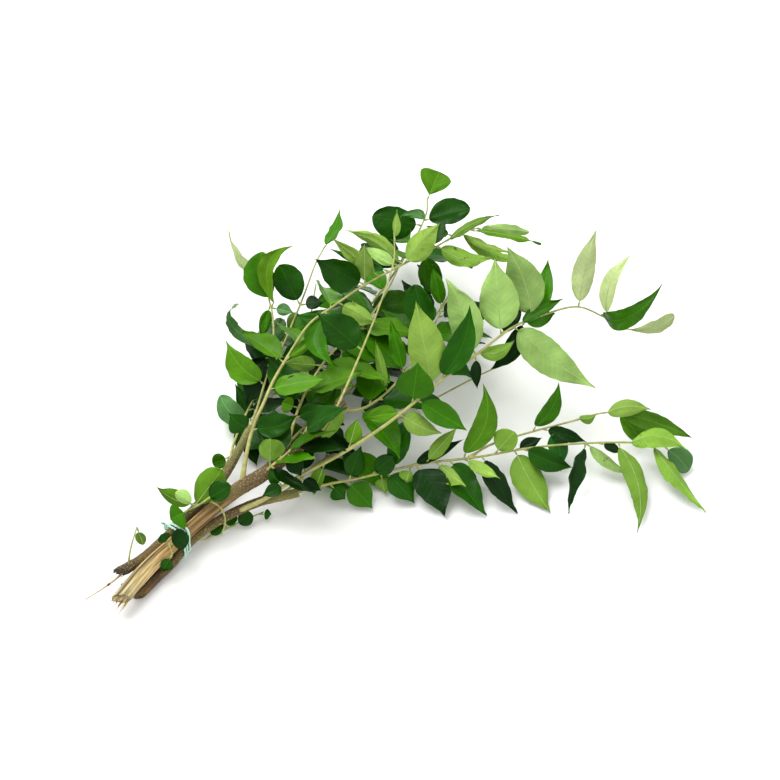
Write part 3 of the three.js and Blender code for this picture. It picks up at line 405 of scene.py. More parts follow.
        (73, -3.6, 21.5), (84, 4, 29), (98, 11, 34), (116, 17, 37), (136, 19, 38), (158, 27, 39),
        (178, 38, 39),
    ], "leaves": [
        leaflet(0.32, 134, 16, 8, 11, 41, 10, "mid", shape="blunt"),
        leaflet(0.44, 134, 3, 14, 8, -130, 10, "fresh"),
        leaflet(0.41, -59, -13, 15, 8, 152, 10, "fresh"),
        leaflet(0.55, -88, -26, 10, 5, -17, 10, "mid"),
        leaflet(0.61, 44, 43, 14, 6, -172, 10, "bright"),
        leaflet(0.39, -137, -29, 13, 8, 8, 10, "mid"),
        leaflet(0.18, -32, 25, 14, 8, -35, 10, "dark"),
        leaflet(0.23, 132, 22, 5, 8, 46, 10, "fresh", shape="blunt"),
    ], "row": leafRow(15, 0.2, 1, 62, 2, 28, 0.55, 0, 47, "mid")},
    {"name": "frond_14", "radius": (1, 0.6), "points": [
        (45, 0, 15.5), (41, 0.5, 20), (36, 1, 21.5), (32, 1.6, 20.5), (28, 3.1, 18.5),
        (25.7, 4.8, 17),
    ], "leaves": [
        leaflet(0.84, 1, 26, 18, 13, 162, 10, "mid", shape="blunt"),
        leaflet(0.56, -36, 39, 11, 9, -35, 15, "dark", shape="blunt"),
        leaflet(1, -175, -18, 7, 12, 37, 15, "mid", shape="blunt"),
        leaflet(0.78, 108, 12, 16, 8, -126, 20, "mid", bow=-0.12),
        leaflet(0.76, 115, 28, 8, 6, -143, 0, "pale", shape="blunt"),
    ], "row": None},
    {"name": "frond_15", "radius": (0.9, 0.5), "points": [
        (24, -1.7, 6.1), (26.5, -3.2, 2.9), (36, -4.2, 2), (46, -6, 2), (55, -8.4, 2.3),
    ], "leaves": [
        leaflet(0.62, -19, 24, 7, 7, -26, 10, "dark", shape="blunt"),
        leaflet(0.51, 10, 39, 6, 6, -13, 10, "dark", shape="blunt"),
        leaflet(0.3, 6, 37, 7, 5, -16, 10, "dark", shape="blunt"),
        leaflet(0.93, -44, 3, 3, 5, 0, 10, "dark"),
    ], "row": None},
    {"name": "frond_16", "radius": (0.8, 0.5), "points": [
        (10, -1.2, 9.9), (10, -2, 14.5), (9, -4.5, 15.6), (8, -7, 14),
    ], "leaves": [
        leaflet(0.22, 126, 20, 4, 6, 39, 15, "dark", shape="blunt"),
        leaflet(0.22, -35, 29, 8, 9, -42, 15, "deep", shape="blunt"),
        leaflet(1, 173, -55, 7, 6, 36, 10, "dark"),
    ], "row": None},
    {"name": "frond_17", "radius": (1.1, 0.6), "points": [
        (60, -2.6, 18.5), (64, -5, 24), (72, -6, 27), (80, -5, 29), (90, -1, 31),
    ], "leaves": [
        leaflet(0.2, 45, 52, 10, 12, 178, 5, "fresh", shape="blunt"),
        leaflet(0.22, -87, 2, 22, 7, 1, 15, "deep", bow=-0.1),
        leaflet(0.49, -98, -25, 9, 8, -16, 10, "deep"),
    ], "row": leafRow(9, 0.3, 1, 62, 8, 22, 0.58, 0, 53, "dark")},
    {"name": "bare_petiole", "radius": (0.8, 0.6), "points": [
        (30, 6.9, 12.2), (32.5, 4, 17.2), (35, 0, 19), (36.5, -4.5, 17), (35.5, -7.5, 12),
        (32, -8.6, 7),
    ], "leaves": [], "row": None},
    {"name": "stray_stalk", "radius": (0.9, 0.5), "points": [
        (-7, 4, 7.8), (-6, 4.5, 12), (-3, 6, 17), (3, 9.5, 21),
    ], "leaves": [
        leaflet(1, -98, -62, 6, 5, 157, 10, "fresh", shape="blunt"),
    ], "row": None},
]

# the turns that were tried on each leaflet, in degrees: to the side and up
tries = [
    (0, 0), (0, 7), (0, -7), (8, 0), (-8, 0), (8, 8), (-8, 8), (8, -8), (-8, -8), (0, 15),
    (0, -15), (16, 0), (-16, 0), (16, 12), (-16, 12), (16, -12), (-16, -12), (0, 24), (0, -24),
    (25, 6), (-25, 6), (25, 20), (-25, 20), (0, 34), (35, 0), (-35, 0), (20, 34), (-20, 34),
    (0, 46), (25, -22), (-25, -22),
]


# ---- leaflets: where each one ended up ----

blade = {"stalk": 2.6, "lowest": 0.6}
# how far a leaflet folds, curls and twists, in degrees: the least and the spread of the draw
setBend = {"fold": (10, 8), "twist": 12}
rowBend = {"fold": (10, 10), "twist": 16, "curl": (18, 20)}
# how a row's leaflets vary: size along the rachis and by draw, and angles in degrees
rowVariety = {
    "footSize": 0.8, "middleGain": 0.25, "size": 0.14, "width": 0.12, "heading": 16, "rise": 18,
    "riseWithRachis": 0.6, "roll": 26, "lean": 12,
}
# powers of the outline at the foot and at the tip, and how far the tip is drawn in
outlines = {"pointed": (0.62, 1.12, 0.3), "blunt": (0.62, 0.6, 0), "wedge": (1.1, 0.42, 0)}
drawnTip = (0.66, 0.92)  # where along the blade the drawing in starts and is full
# the tones that a row's leaflets draw from
toneChoices = {
    "deep": ("deep", "deep", "dark", "mid"),
    "dark": ("dark", "deep", "mid", "dark", "mid"),
    "mid": ("mid", "dark", "mid", "fresh"),
    "fresh": ("fresh", "mid", "dark"),
}


def setLeaflets(frond):
    draw = makeDraw(len(frond["name"]) * 100 + len(frond["points"]))
    least, spread = setBend["fold"]
    made = []
    for leaf in frond["leaves"]:
        fold = least + spread * draw()
        made.append({**leaf, "root": curvePoint(frond["points"], leaf["at"]), "fold": fold,
                     "twist": setBend["twist"] * draw()})
    return made


def rowLeaflets(frond):
    row = frond["row"]
    if not row:
        return []
    draw, pick = makeDraw(row["seed"]), makeDraw(row["seed"] + 500)
    tones = toneChoices[row["tone"]]
    last = row["count"] - 1
    vary = rowVariety
    made = []
    for i in range(row["count"]):
        at = mix(row["start"], row["end"], i / last)
        along = curveTangent(frond["points"], at)
        turn = 0 if i == last and row["end"] == 1 else (1 if i % 2 else -1)
        size = vary["footSize"] + vary["middleGain"] * math.sin(math.pi * at)
        size *= 1 + vary["size"] * draw()
        heading = math.degrees(math.atan2(along.y, along.x)) + turn * row["spread"]
        heading += vary["heading"] * draw()
        rise = math.degrees(math.asin(along.z)) * vary["riseWithRachis"] + row["rise"]
        rise += vary["rise"] * draw()
        width = row["length"] * size * row["width"] * (1 + vary["width"] * draw())
        roll = row["roll"] - turn * vary["lean"] + vary["roll"] * draw()
        curl = rowBend["curl"][0] + rowBend["curl"][1] * draw()
        fold = rowBend["fold"][0] + rowBend["fold"][1] * draw()
        twist = rowBend["twist"] * draw()
        made.append({
            "at": at, "root": curvePoint(frond["points"], at), "heading": heading, "rise": rise,
            "length": row["length"] * size, "width": width, "roll": roll, "curl": curl,
            "fold": fold, "twist": twist, "bow": 0, "shape": "pointed", "marks": 0,
            "tone": tones[int((pick() + 1) / 2 * len(tones)) % len(tones)],
        })
    return made


def leafAxes(leaf, swing=0, lift=0):
    # along the leaflet, out of its upper face and across it to the left
    heading, rise = math.radians(leaf["heading"] + swing), math.radians(leaf["rise"] + lift)
    roll = math.radians(leaf["roll"])
    along = Vector((math.cos(heading) * math.cos(rise), math.sin(heading) * math.cos(rise),
                    math.sin(rise)))
    faceUp = (Vector((0, 0, 1)) - along * along.z).normalized()
    left = faceUp.cross(along)
    face = faceUp * math.cos(roll) + left * math.sin(roll)
    side = left * math.cos(roll) - faceUp * math.sin(roll)
    return along, face, side


def midribPlace(leaf, axes, u):
    # the midrib point at u and the directions across the blade and out of its upper face
    along, face, side = axes
    curl = math.radians(leaf["curl"]) or 1e-6  # a straight one still divides
    bend = curl * u
    middle = leaf["root"] + along * (blade["stalk"] + leaf["length"] * math.sin(bend) / curl)
    middle -= face * (leaf["length"] * (1 - math.cos(bend)) / curl)
    middle += side * (leaf["bow"] * leaf["length"] * 4 * u * (1 - u))
    normal = face * math.cos(bend) + along * math.sin(bend)
    twist = math.radians(leaf["twist"]) * u
    across = side * math.cos(twist) + normal * math.sin(twist)
    outward = normal * math.cos(twist) - side * math.sin(twist)
    middle.z = max(middle.z, blade["lowest"])
    return middle, across, outward


def outline(u, shape):
    # half width, as a share of the widest
    foot, tip, drawnIn = outlines[shape]
    widest = foot / (foot + tip)
    peak = widest**foot * (1 - widest)**tip
    return u**foot * (1 - u)**tip / peak * (1 - drawnIn * smooth(*drawnTip, u))


def placedLeaflets(frond):
    # Each leaflet was turned by the first of the tries that kept it clear. The tip that the packed
    # node has shows which, and a leaflet whose tip isn't there was left out.
    near = 0.02
    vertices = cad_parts[frond["name"]].data.vertices
    tips = KDTree(len(vertices))
    for vertex in vertices:
        tips.insert(vertex.co / mm, vertex.index)
    tips.balance()
    placed = []
    for leaf in setLeaflets(frond) + rowLeaflets(frond):
        for swing, lift in tries:
            axes = leafAxes(leaf, swing, lift)
            if tips.find(midribPlace(leaf, axes, 1)[0])[2] < near:
                placed.append({**leaf, "axes": axes})
                break
    return placed


# ---- Geometry Nodes: shared parts ----

def newTree(name, inputs):
    # a tree with a named input for each size, with its usual value, and one for the material
    tree = bpy.data.node_groups.new(name, "GeometryNodeTree")
    sockets = tree.interface
    sockets.new_socket("Geometry", in_out="INPUT", socket_type="NodeSocketGeometry")
    for label, usual in inputs.items():
        kind = "NodeSocketInt" if isinstance(usual, int) else "NodeSocketFloat"
        sockets.new_socket(label, in_out="INPUT", socket_type=kind).default_value = usual
    sockets.new_socket("Material", in_out="INPUT", socket_type="NodeSocketMaterial")
    sockets.new_socket("Geometry", in_out="OUTPUT", socket_type="NodeSocketGeometry")
    return tree, tree.nodes.new("NodeGroupInput").outputs


def closeTree(tree, geometry, material):
    real = addNode(tree, "GeometryNodeRealizeInstances", {0: geometry})
    coated = addNode(tree, "GeometryNodeSetMaterial", {0: real, "Material": material})
    addNode(tree, "NodeGroupOutput", {0: coated})


def namedValue(tree, name, kind="FLOAT"):
    return addNode(tree, "GeometryNodeInputNamedAttribute", {"data_type": kind, "Name": name})


def unevenness(tree, look):
    # how far noise is above or below its middle
    noise = addNode(tree, "ShaderNodeTexNoise", {"Scale": 1.0, **look})
    return addNode(tree, "ShaderNodeMath SUBTRACT", {0: noise, 1: 0.5})


def aboveTable(tree, place, lowest):
    # the same place, lifted where it would be in the table
    parts = addNode(tree, "ShaderNodeSeparateXYZ", {0: place})
    height = addNode(tree, "ShaderNodeMath MAXIMUM", {0: parts.outputs[2], 1: lowest})
    return addNode(tree, "ShaderNodeCombineXYZ", {0: parts, 1: parts.outputs[1], 2: height})


def creased(tree, geometry, steepest):
    # smooth shading, broken at edges that are steeper than an angle in radians
    soft = addNode(tree, "GeometryNodeSetShadeSmooth", {"Shade Smooth": True, 0: geometry})
    angle = addNode(tree, "GeometryNodeInputMeshEdgeAngle")
    steep = addNode(tree, "FunctionNodeCompare GREATER_THAN", {0: angle, 1: steepest})
    return addNode(tree, "GeometryNodeSetShadeSmooth", {
        "domain": "EDGE", "Shade Smooth": False, 0: soft, "Selection": steep})


def grow(source, name, tree, values):
    # runs the tree on a source mesh and keeps the result as a plain mesh in a new object
    holder = addToScene("source", source)
    modifier = holder.modifiers.new("grow", "NODES")
    modifier.node_group = tree
    for item in tree.interface.items_tree:
        if item.in_out == "INPUT" and item.name in values:
            modifier[item.identifier] = values[item.name]
    evaluated = holder.evaluated_get(bpy.context.evaluated_depsgraph_get())
    data = bpy.data.meshes.new_from_object(evaluated)
    data.name = name
    bpy.data.objects.remove(holder)
    return addToScene(name, data)


def pathMesh(paths):
    # one wire for each path: a list of stations, each {"place": point in mm, attribute: value}
    points, edges, stations = [], [], []
    for path in paths:
        first = len(points)
        points += [station["place"] * mm for station in path]
        edges += [(first + i, first + i + 1) for i in range(len(path) - 1)]
        stations += path
    data = bpy.data.meshes.new("paths")
    data.from_pydata(points, edges, [])
    for key, sample in stations[0].items():
        if key == "place":
            continue
        if isinstance(sample, Vector):
            kind, field, values = "FLOAT_VECTOR", "vector", [c for s in stations for c in s[key]]
        elif isinstance(sample, list):
            kind, field, values = "FLOAT_COLOR", "color", [c for s in stations for c in s[key]]
        else:
            kind, field, values = "FLOAT", "value", [s[key] for s in stations]
        data.attributes.new(key, kind, "POINT").data.foreach_set(field, values)
    return data


# ---- blades: Geometry Nodes sweep a row of columns along each midrib ----

bladeForm = {
    "inputs": {
        "Columns": 15, "Crowding": 1.35, "Wave height": 6.5 * mm, "Wave length": 9.0,
        "Tooth depth": 0.035, "Tooth pitch": 2.4, "Lowest": 0.45 * mm,
    },
    "stationStep": 0.8, "fewestStations": 12, "endCrowding": 0.55,
    "thickness": 0.32, "fullThicknessFrom": 1.2,  # half width, in mm, from which it is this thick
    "unevenness": 0.16, "foldSpread": 9, "foldCentre": 0.5, "shadeSpread": 0.32,
    "crease": 1.2, "toothSharpness": 7.0, "liftPower": 1.5,
    "waveNoise": {"Detail": 2.5}, "seedStep": 3.7,
}
# the sRGB colours of a leaflet's upper face and underside, from old and dark to young and pale; the
# darkest also holds painted shade and the palest painted light
leafTones = {
    # deep is the dark green of old leaflets, darkened further with painted shade for leaflets
    # inside the bunch
    "deep": ("0e3603", "38662a"),
    "dark": ("245a0a", "4f8230"),
    "mid": ("457f1f", "72a03e"),
    "fresh": ("629336", "8cb456"),
    "bright": ("76a63d", "a0c466"),
    "pale": ("9ccb5a", "b8de88"),
    # ghost is the pale underside of a young leaflet, lightened further with painted light shining
    # through the blade
    "ghost": ("cbe695", "dff2b0"),
    "blue": ("386b30", "659659"),
    "grey": ("6f9f63", "9fbc91"),
}


def makeBladeTree():
    tree, given = newTree("bladeAlongMidrib", bladeForm["inputs"])
    curve = addNode(tree, "GeometryNodeMeshToCurve", {0: given["Geometry"]})
    # the profile runs from the right edge, -1, to the left edge, 1, closer together at the midrib
    line = addNode(tree, "GeometryNodeCurvePrimitiveLine", {"Start": (-1, 0, 0), "End": (1, 0, 0)})
    columns = addNode(tree, "GeometryNodeResampleCurve", {0: line, "Count": given["Columns"]})
    place = addNode(tree, "GeometryNodeInputPosition")
    split = addNode(tree, "ShaderNodeSeparateXYZ", {0: place})
    size = addNode(tree, "ShaderNodeMath ABSOLUTE", {0: split})
    eased = addNode(tree, "ShaderNodeMath POWER", {0: size, 1: given["Crowding"]})
    sign = addNode(tree, "ShaderNodeMath SIGN", {0: split})
    across = addNode(tree, "ShaderNodeMath MULTIPLY", {0: eased, 1: sign})
    profile = addNode(tree, "GeometryNodeStoreNamedAttribute", {
        "Name": "acrossBlade", 0: columns, "Value": across})
    sheet = addNode(tree, "GeometryNodeCurveToMesh", {0: curve, 1: profile})

    v = namedValue(tree, "acrossBlade")
    along = namedValue(tree, "alongMm")
    side = addNode(tree, "ShaderNodeMath ABSOLUTE", {0: v})
    # small teeth on the margin
    toothPlace = addNode(tree, "ShaderNodeMath DIVIDE", {0: along, 1: given["Tooth pitch"]})
    saw = addNode(tree, "ShaderNodeMath PINGPONG", {0: toothPlace, 1: 1.0})
    rim = addNode(tree, "ShaderNodeMath POWER", {0: side, 1: bladeForm["toothSharpness"]})
    toothHere = addNode(tree, "ShaderNodeMath MULTIPLY", {0: saw, 1: rim})
    cut = addNode(tree, "ShaderNodeMath MULTIPLY", {0: toothHere, 1: given["Tooth depth"]})
    keep = addNode(tree, "ShaderNodeMath SUBTRACT", {0: 1.0, 1: cut})
    even = addNode(tree, "ShaderNodeMath MULTIPLY", {0: v, 1: keep})
    # one half of a blade is wider than the other
    widening = addNode(tree, "ShaderNodeMath MULTIPLY", {0: side, 1: namedValue(tree, "widerLeft")})
    reachShare = addNode(tree, "ShaderNodeMath ADD", {0: even, 1: widening})
    liftSize = addNode(tree, "ShaderNodeMath ABSOLUTE", {0: reachShare})
    liftShare = addNode(tree, "ShaderNodeMath POWER", {0: liftSize, 1: bladeForm["liftPower"]})
    # slow waves that grow towards the margin
    waveAlong = addNode(tree, "ShaderNodeMath DIVIDE", {0: along, 1: given["Wave length"]})
    wavePlace = addNode(tree, "ShaderNodeCombineXYZ", {
        0: waveAlong, 1: v, 2: namedValue(tree, "leafSeed")})
    swell = unevenness(tree, {**bladeForm["waveNoise"], "Vector": wavePlace})
    rise = addNode(tree, "ShaderNodeMath MULTIPLY", {0: swell, 1: side})
    wave = addNode(tree, "ShaderNodeMath MULTIPLY", {0: rise, 1: given["Wave height"]})

    spine = namedValue(tree, "spine", "FLOAT_VECTOR")
    face = namedValue(tree, "face", "FLOAT_VECTOR")
    reach = addNode(tree, "ShaderNodeVectorMath SCALE", {
        0: namedValue(tree, "reach", "FLOAT_VECTOR"), "Scale": reachShare})
    lift = addNode(tree, "ShaderNodeVectorMath SCALE", {
        0: namedValue(tree, "lift", "FLOAT_VECTOR"), "Scale": liftShare})
    waved = addNode(tree, "ShaderNodeVectorMath SCALE", {0: face, "Scale": wave})
    out = addNode(tree, "ShaderNodeVectorMath ADD", {0: spine, 1: reach})
    up = addNode(tree, "ShaderNodeVectorMath ADD", {0: lift, 1: waved})
    bent = addNode(tree, "ShaderNodeVectorMath ADD", {0: out, 1: up})
    shaped = addNode(tree, "GeometryNodeSetPosition", {
        0: sheet, "Position": aboveTable(tree, bent, given["Lowest"])})

    # both faces, thickest at the midrib and meeting at the margin
    square = addNode(tree, "ShaderNodeMath MULTIPLY", {0: v, 1: v})
    inner = addNode(tree, "ShaderNodeMath SUBTRACT", {0: 1.0, 1: square})
    lens = addNode(tree, "ShaderNodeMath SQRT", {0: inner})
    half = addNode(tree, "ShaderNodeMath MULTIPLY", {0: lens, 1: namedValue(tree, "swell")})
    both = addNode(tree, "GeometryNodeJoinGeometry")
    for direction, colour in ((1, "upperColour"), (-1, "underColour")):
        amount = addNode(tree, "ShaderNodeMath MULTIPLY", {0: half, 1: float(direction)})
        step = addNode(tree, "ShaderNodeVectorMath SCALE", {0: face, "Scale": amount})
        turned = addNode(tree, "GeometryNodeSetPosition", {0: shaped, "Offset": step})
        if direction > 0:
            turned = addNode(tree, "GeometryNodeFlipFaces", {0: turned})
        tinted = addNode(tree, "GeometryNodeStoreNamedAttribute", {
            "data_type": "FLOAT_COLOR", "domain": "FACE", "Name": "bladeColour", 0: turned,
            "Value": namedValue(tree, colour, "FLOAT_COLOR")})
        marked = addNode(tree, "GeometryNodeStoreNamedAttribute", {
            "domain": "FACE", "Name": "underSide", "Value": float(direction < 0), 0: tinted})
        setNode(tree, both, {0: marked})
    closed = addNode(tree, "GeometryNodeMergeByDistance", {"Distance": 1e-6, 0: both})
    closeTree(tree, creased(tree, closed, bladeForm["crease"]), given["Material"])
    return tree


def stationsAlong(leaf):
    # shares of the blade's length, closer together at both ends
    count = max(bladeForm["fewestStations"], round(leaf["length"] / bladeForm["stationStep"]))
    even = [i / count for i in range(count + 1)]
    return [u + bladeForm["endCrowding"] * (smooth(0, 1, u) - u) for u in even]


def bladePath(leaf, index):
    draw = makeDraw(index * 37 + int(leaf["length"] * 10))
    shade = 1 + bladeForm["shadeSpread"] * draw()
    widerLeft = bladeForm["unevenness"] * draw()
    moreFold = bladeForm["foldSpread"] * (bladeForm["foldCentre"] + draw())
    fold = math.radians(leaf["fold"] + moreFold)
    upper, under = [[c * shade for c in linearColour(h)[:3]] + [1] for h in leafTones[leaf["tone"]]]
    path = []
    for u in stationsAlong(leaf):
        middle, across, outward = midribPlace(leaf, leaf["axes"], u)
        halfWidth = leaf["width"] / 2 * outline(u, leaf["shape"])
        full = min(1, halfWidth / bladeForm["fullThicknessFrom"])
        path.append({
            "place": middle, "spine": middle * mm, "face": outward,
            "reach": across * (halfWidth * math.cos(fold) * mm),
            "lift": outward * (halfWidth * math.sin(fold) * mm),
            "swell": bladeForm["thickness"] / 2 * mm * full,
            "alongMm": u * leaf["length"], "halfWidthMm": halfWidth, "widerLeft": widerLeft,
            "leafSeed": index * bladeForm["seedStep"], "marks": float(leaf["marks"]),
            "upperColour": upper, "underColour": under,
        })
    return path


# ---- stalks: a rachis, the leaflets' little stalks and the midribs that they run on into ----

stalkForm = {
    "inputs": {
        "Sides": 8, "Ripple height": 0.12 * mm, "Ripple length": 2.5 * mm,
        "Hair density": 0.5 / mm**2, "Hair length": 0.4 * mm, "Hair width": 0.05 * mm,
        "Lowest": 0.05 * mm, "Seed": 1,
    },
    "rippleNoise": {"Detail": 2.0}, "step": 1.5, "fewestSteps": 12,
    "slim": 0.56,  # a real rachis has this share of the thickness of the solid that stands for it
    "footGain": 0.45, "footLength": 0.08, "footFade": 3, "tipFrom": 0.4,
    "petioleRadius": 0.32, "petioleSwelling": 0.14, "swellingAt": 0.4,
    "midribRadius": 0.17, "midribEnd": 0.9, "midribTaper": 0.8, "midribSteps": 14,
    "midribDepth": 0.12, "midribSunk": 0.3, "fullMidribAt": 9, "leastMidrib": 0.3,
}
stalkTones = {
    "foot": "d0cb7c", "middle": "c6c472", "tip": "adb868", "petiole": "b0bf6a", "midrib": "b5cd83",
}
hairForm = {"lean": 0.7, "turn": 3, "least": 0.5, "most": 1.2}


def makeStalkTree():
    tree, given = newTree("roundStalk", stalkForm["inputs"])
    curve = addNode(tree, "GeometryNodeMeshToCurve", {0: given["Geometry"]})
    ring = addNode(tree, "GeometryNodeCurvePrimitiveCircle", {
        "Radius": 1.0, "Resolution": given["Sides"]})
    tube = addNode(tree, "GeometryNodeCurveToMesh", {
        "Fill Caps": True, 0: curve, 1: ring, "Scale": namedValue(tree, "stalkRadius")})
    # an uneven surface
    place = addNode(tree, "GeometryNodeInputPosition")
    finer = addNode(tree, "ShaderNodeMath DIVIDE", {0: 1.0, 1: given["Ripple length"]})
    scaled = addNode(tree, "ShaderNodeVectorMath SCALE", {0: place, "Scale": finer})
    ripple = unevenness(tree, {**stalkForm["rippleNoise"], "Vector": scaled})
    amount = addNode(tree, "ShaderNodeMath MULTIPLY", {0: ripple, 1: given["Ripple height"]})
    normal = addNode(tree, "GeometryNodeInputNormal")
    step = addNode(tree, "ShaderNodeVectorMath SCALE", {0: normal, "Scale": amount})
    uneven = addNode(tree, "GeometryNodeSetPosition", {0: tube, "Offset": step})
    above = addNode(tree, "GeometryNodeSetPosition", {
        0: uneven, "Position": aboveTable(tree, place, given["Lowest"])})
    soft = addNode(tree, "GeometryNodeSetShadeSmooth", {"Shade Smooth": True, 0: above})
    # a down of fine short hairs
    spots = addNode(tree, "GeometryNodeDistributePointsOnFaces", {
        0: soft, "Density": given["Hair density"], "Seed": given["Seed"]})
    thin = addNode(tree, "ShaderNodeMath MULTIPLY", {0: given["Hair width"], 1: 0.5})
    hair = addNode(tree, "GeometryNodeMeshCone", {
        "Vertices": 3, "Radius Top": 0.0, "Radius Bottom": thin, "Depth": given["Hair length"]})
    most = (hairForm["lean"], hairForm["lean"], hairForm["turn"])
    lean = addNode(tree, "FunctionNodeRandomValue", {
        "data_type": "FLOAT_VECTOR", 0: [-c for c in most], 1: most, "Seed": given["Seed"]})
    bent = addNode(tree, "FunctionNodeRotateRotation", {
        "rotation_space": "LOCAL", 0: spots.outputs["Rotation"], 1: lean})
    hairSize = addNode(tree, "FunctionNodeRandomValue", {
        2: hairForm["least"], 3: hairForm["most"], "Seed": given["Seed"]})
    hairs = addNode(tree, "GeometryNodeInstanceOnPoints", {
        0: spots, "Instance": hair, "Rotation": bent, "Scale": hairSize.outputs[1]})
    both = addNode(tree, "GeometryNodeJoinGeometry", {0: soft})
    setNode(tree, both, {0: hairs})
    closeTree(tree, both, given["Material"])
    return tree


def station(place, radius, colour):
    return {"place": place, "stalkRadius": radius * mm, "stalkColour": colour}


def blendColour(a, b, share):
    return [mix(p, q, share) for p, q in zip(linearColour(a), linearColour(b))]


def rachisPath(frond):
    # thicker at the swollen foot, yellow there and greener to the tip
    length, tipFrom = curveLength(frond["points"]), stalkForm["tipFrom"]
    steps = max(stalkForm["fewestSteps"], round(length / stalkForm["step"]))
    path = []
    for i in range(steps + 1):
        t = i / steps
        swelling = stalkForm["footGain"] * max(0, 1 - t / stalkForm["footLength"])
        radius = mix(*frond["radius"], t) * stalkForm["slim"] + swelling
        faded = min(1, t * stalkForm["footFade"])
        colour = blendColour(stalkTones["foot"], stalkTones["middle"], faded)
        if t > tipFrom:
            green = (t - tipFrom) / (1 - tipFrom)
            colour = blendColour(stalkTones["middle"], stalkTones["tip"], green)
        path.append(station(curvePoint(frond["points"], t), radius, colour))
    return path


def petiolePath(leaf):
    # from the middle of the rachis to the foot of the blade, then along its underside as the midrib
    along = leaf["axes"][0]
    petiole, midrib = linearColour(stalkTones["petiole"]), linearColour(stalkTones["midrib"])
    thickest = stalkForm["swellingAt"]
    path = []
    for share in (0, 0.25, 0.5, 0.75):
        swelling = stalkForm["petioleSwelling"] * max(0, 1 - abs(share - thickest) / thickest)
        path.append(station(leaf["root"] + along * (share * blade["stalk"]),
                            stalkForm["petioleRadius"] + swelling, petiole))
    sizeShare = min(1, leaf["width"] / stalkForm["fullMidribAt"] + stalkForm["leastMidrib"])
    for i in range(stalkForm["midribSteps"] + 1):
        u = stalkForm["midribEnd"] * i / stalkForm["midribSteps"]
        middle, _, outward = midribPlace(leaf, leaf["axes"], u)
        radius = stalkForm["midribRadius"] * (1 - stalkForm["midribTaper"] * u) * sizeShare
        depth = stalkForm["midribDepth"] + radius * stalkForm["midribSunk"]
        path.append(station(middle - outward * depth, radius, midrib))
    return path


# ---- materials: shared parts, the leaf and the green stalk ----

leafLook = {
    "ior": 1.45, "shine": 0.14, "upperRoughness": 0.36, "underRoughness": 0.62,
    "saturation": 1.12,
    # the side veins in mm, and how far out on the blade they fade
    "veinSpacing": 2.6, "veinWidth": 0.16, "veinLean": 0.75, "veinWander": 1.6,
    "wander": {"Scale": 220.0, "Detail": 1.0},
    "veinFade": {"From Min": 0.65, "From Max": 0.98, "To Min": 1.0, "To Max": 0.0},
    "midribEdge": {"From Min": 0.05, "From Max": 0.22, "To Min": 1.0, "To Max": 0.0},
    "ribLight": 0.7, "veinLight": 0.1,
    # patches 11 mm across and brown blemishes 3 mm across
    "mottle": {"Scale": 1000 / 11.0, "Detail": 3.0},
    "mottleLight": {"From Min": 0.3, "From Max": 0.7, "To Min": 0.55, "To Max": 0.8},
    "blots": {"Scale": 330.0, "Detail": 2.0}, "blotEdge": {"From Min": 0.6, "From Max": 0.68},
    "blotColour": "4a3a1c",
    # cells 0.45 mm across
    "cells": {"Scale": 1000 / 0.45, "Detail": 1.0}, "cellHeight": 0.35,
    "relief": {"Strength": 0.4, "Distance": 0.12 * mm},
}
stalkLook = {
    "ior": 1.45, "greenRoughness": 0.5, "dryRoughness": 0.85,
    "blotches": {"Scale": 420.0, "Detail": 3.0},
    "blotchLight": {"From Min": 0.3, "From Max": 0.7, "To Min": 0.5, "To Max": 0.86},
    "relief": {"Strength": 0.5, "Distance": 0.1 * mm},
}


def meshValues(tree, wanted):
    # what the mesh carries for a shader: {name of the attribute: output of its node}
    return [addNode(tree, "ShaderNodeAttribute", {"attribute_name": name}).outputs[output]
            for name, output in wanted.items()]


def objectPlace(tree):
    return addNode(tree, "ShaderNodeTexCoord").outputs["Object"]


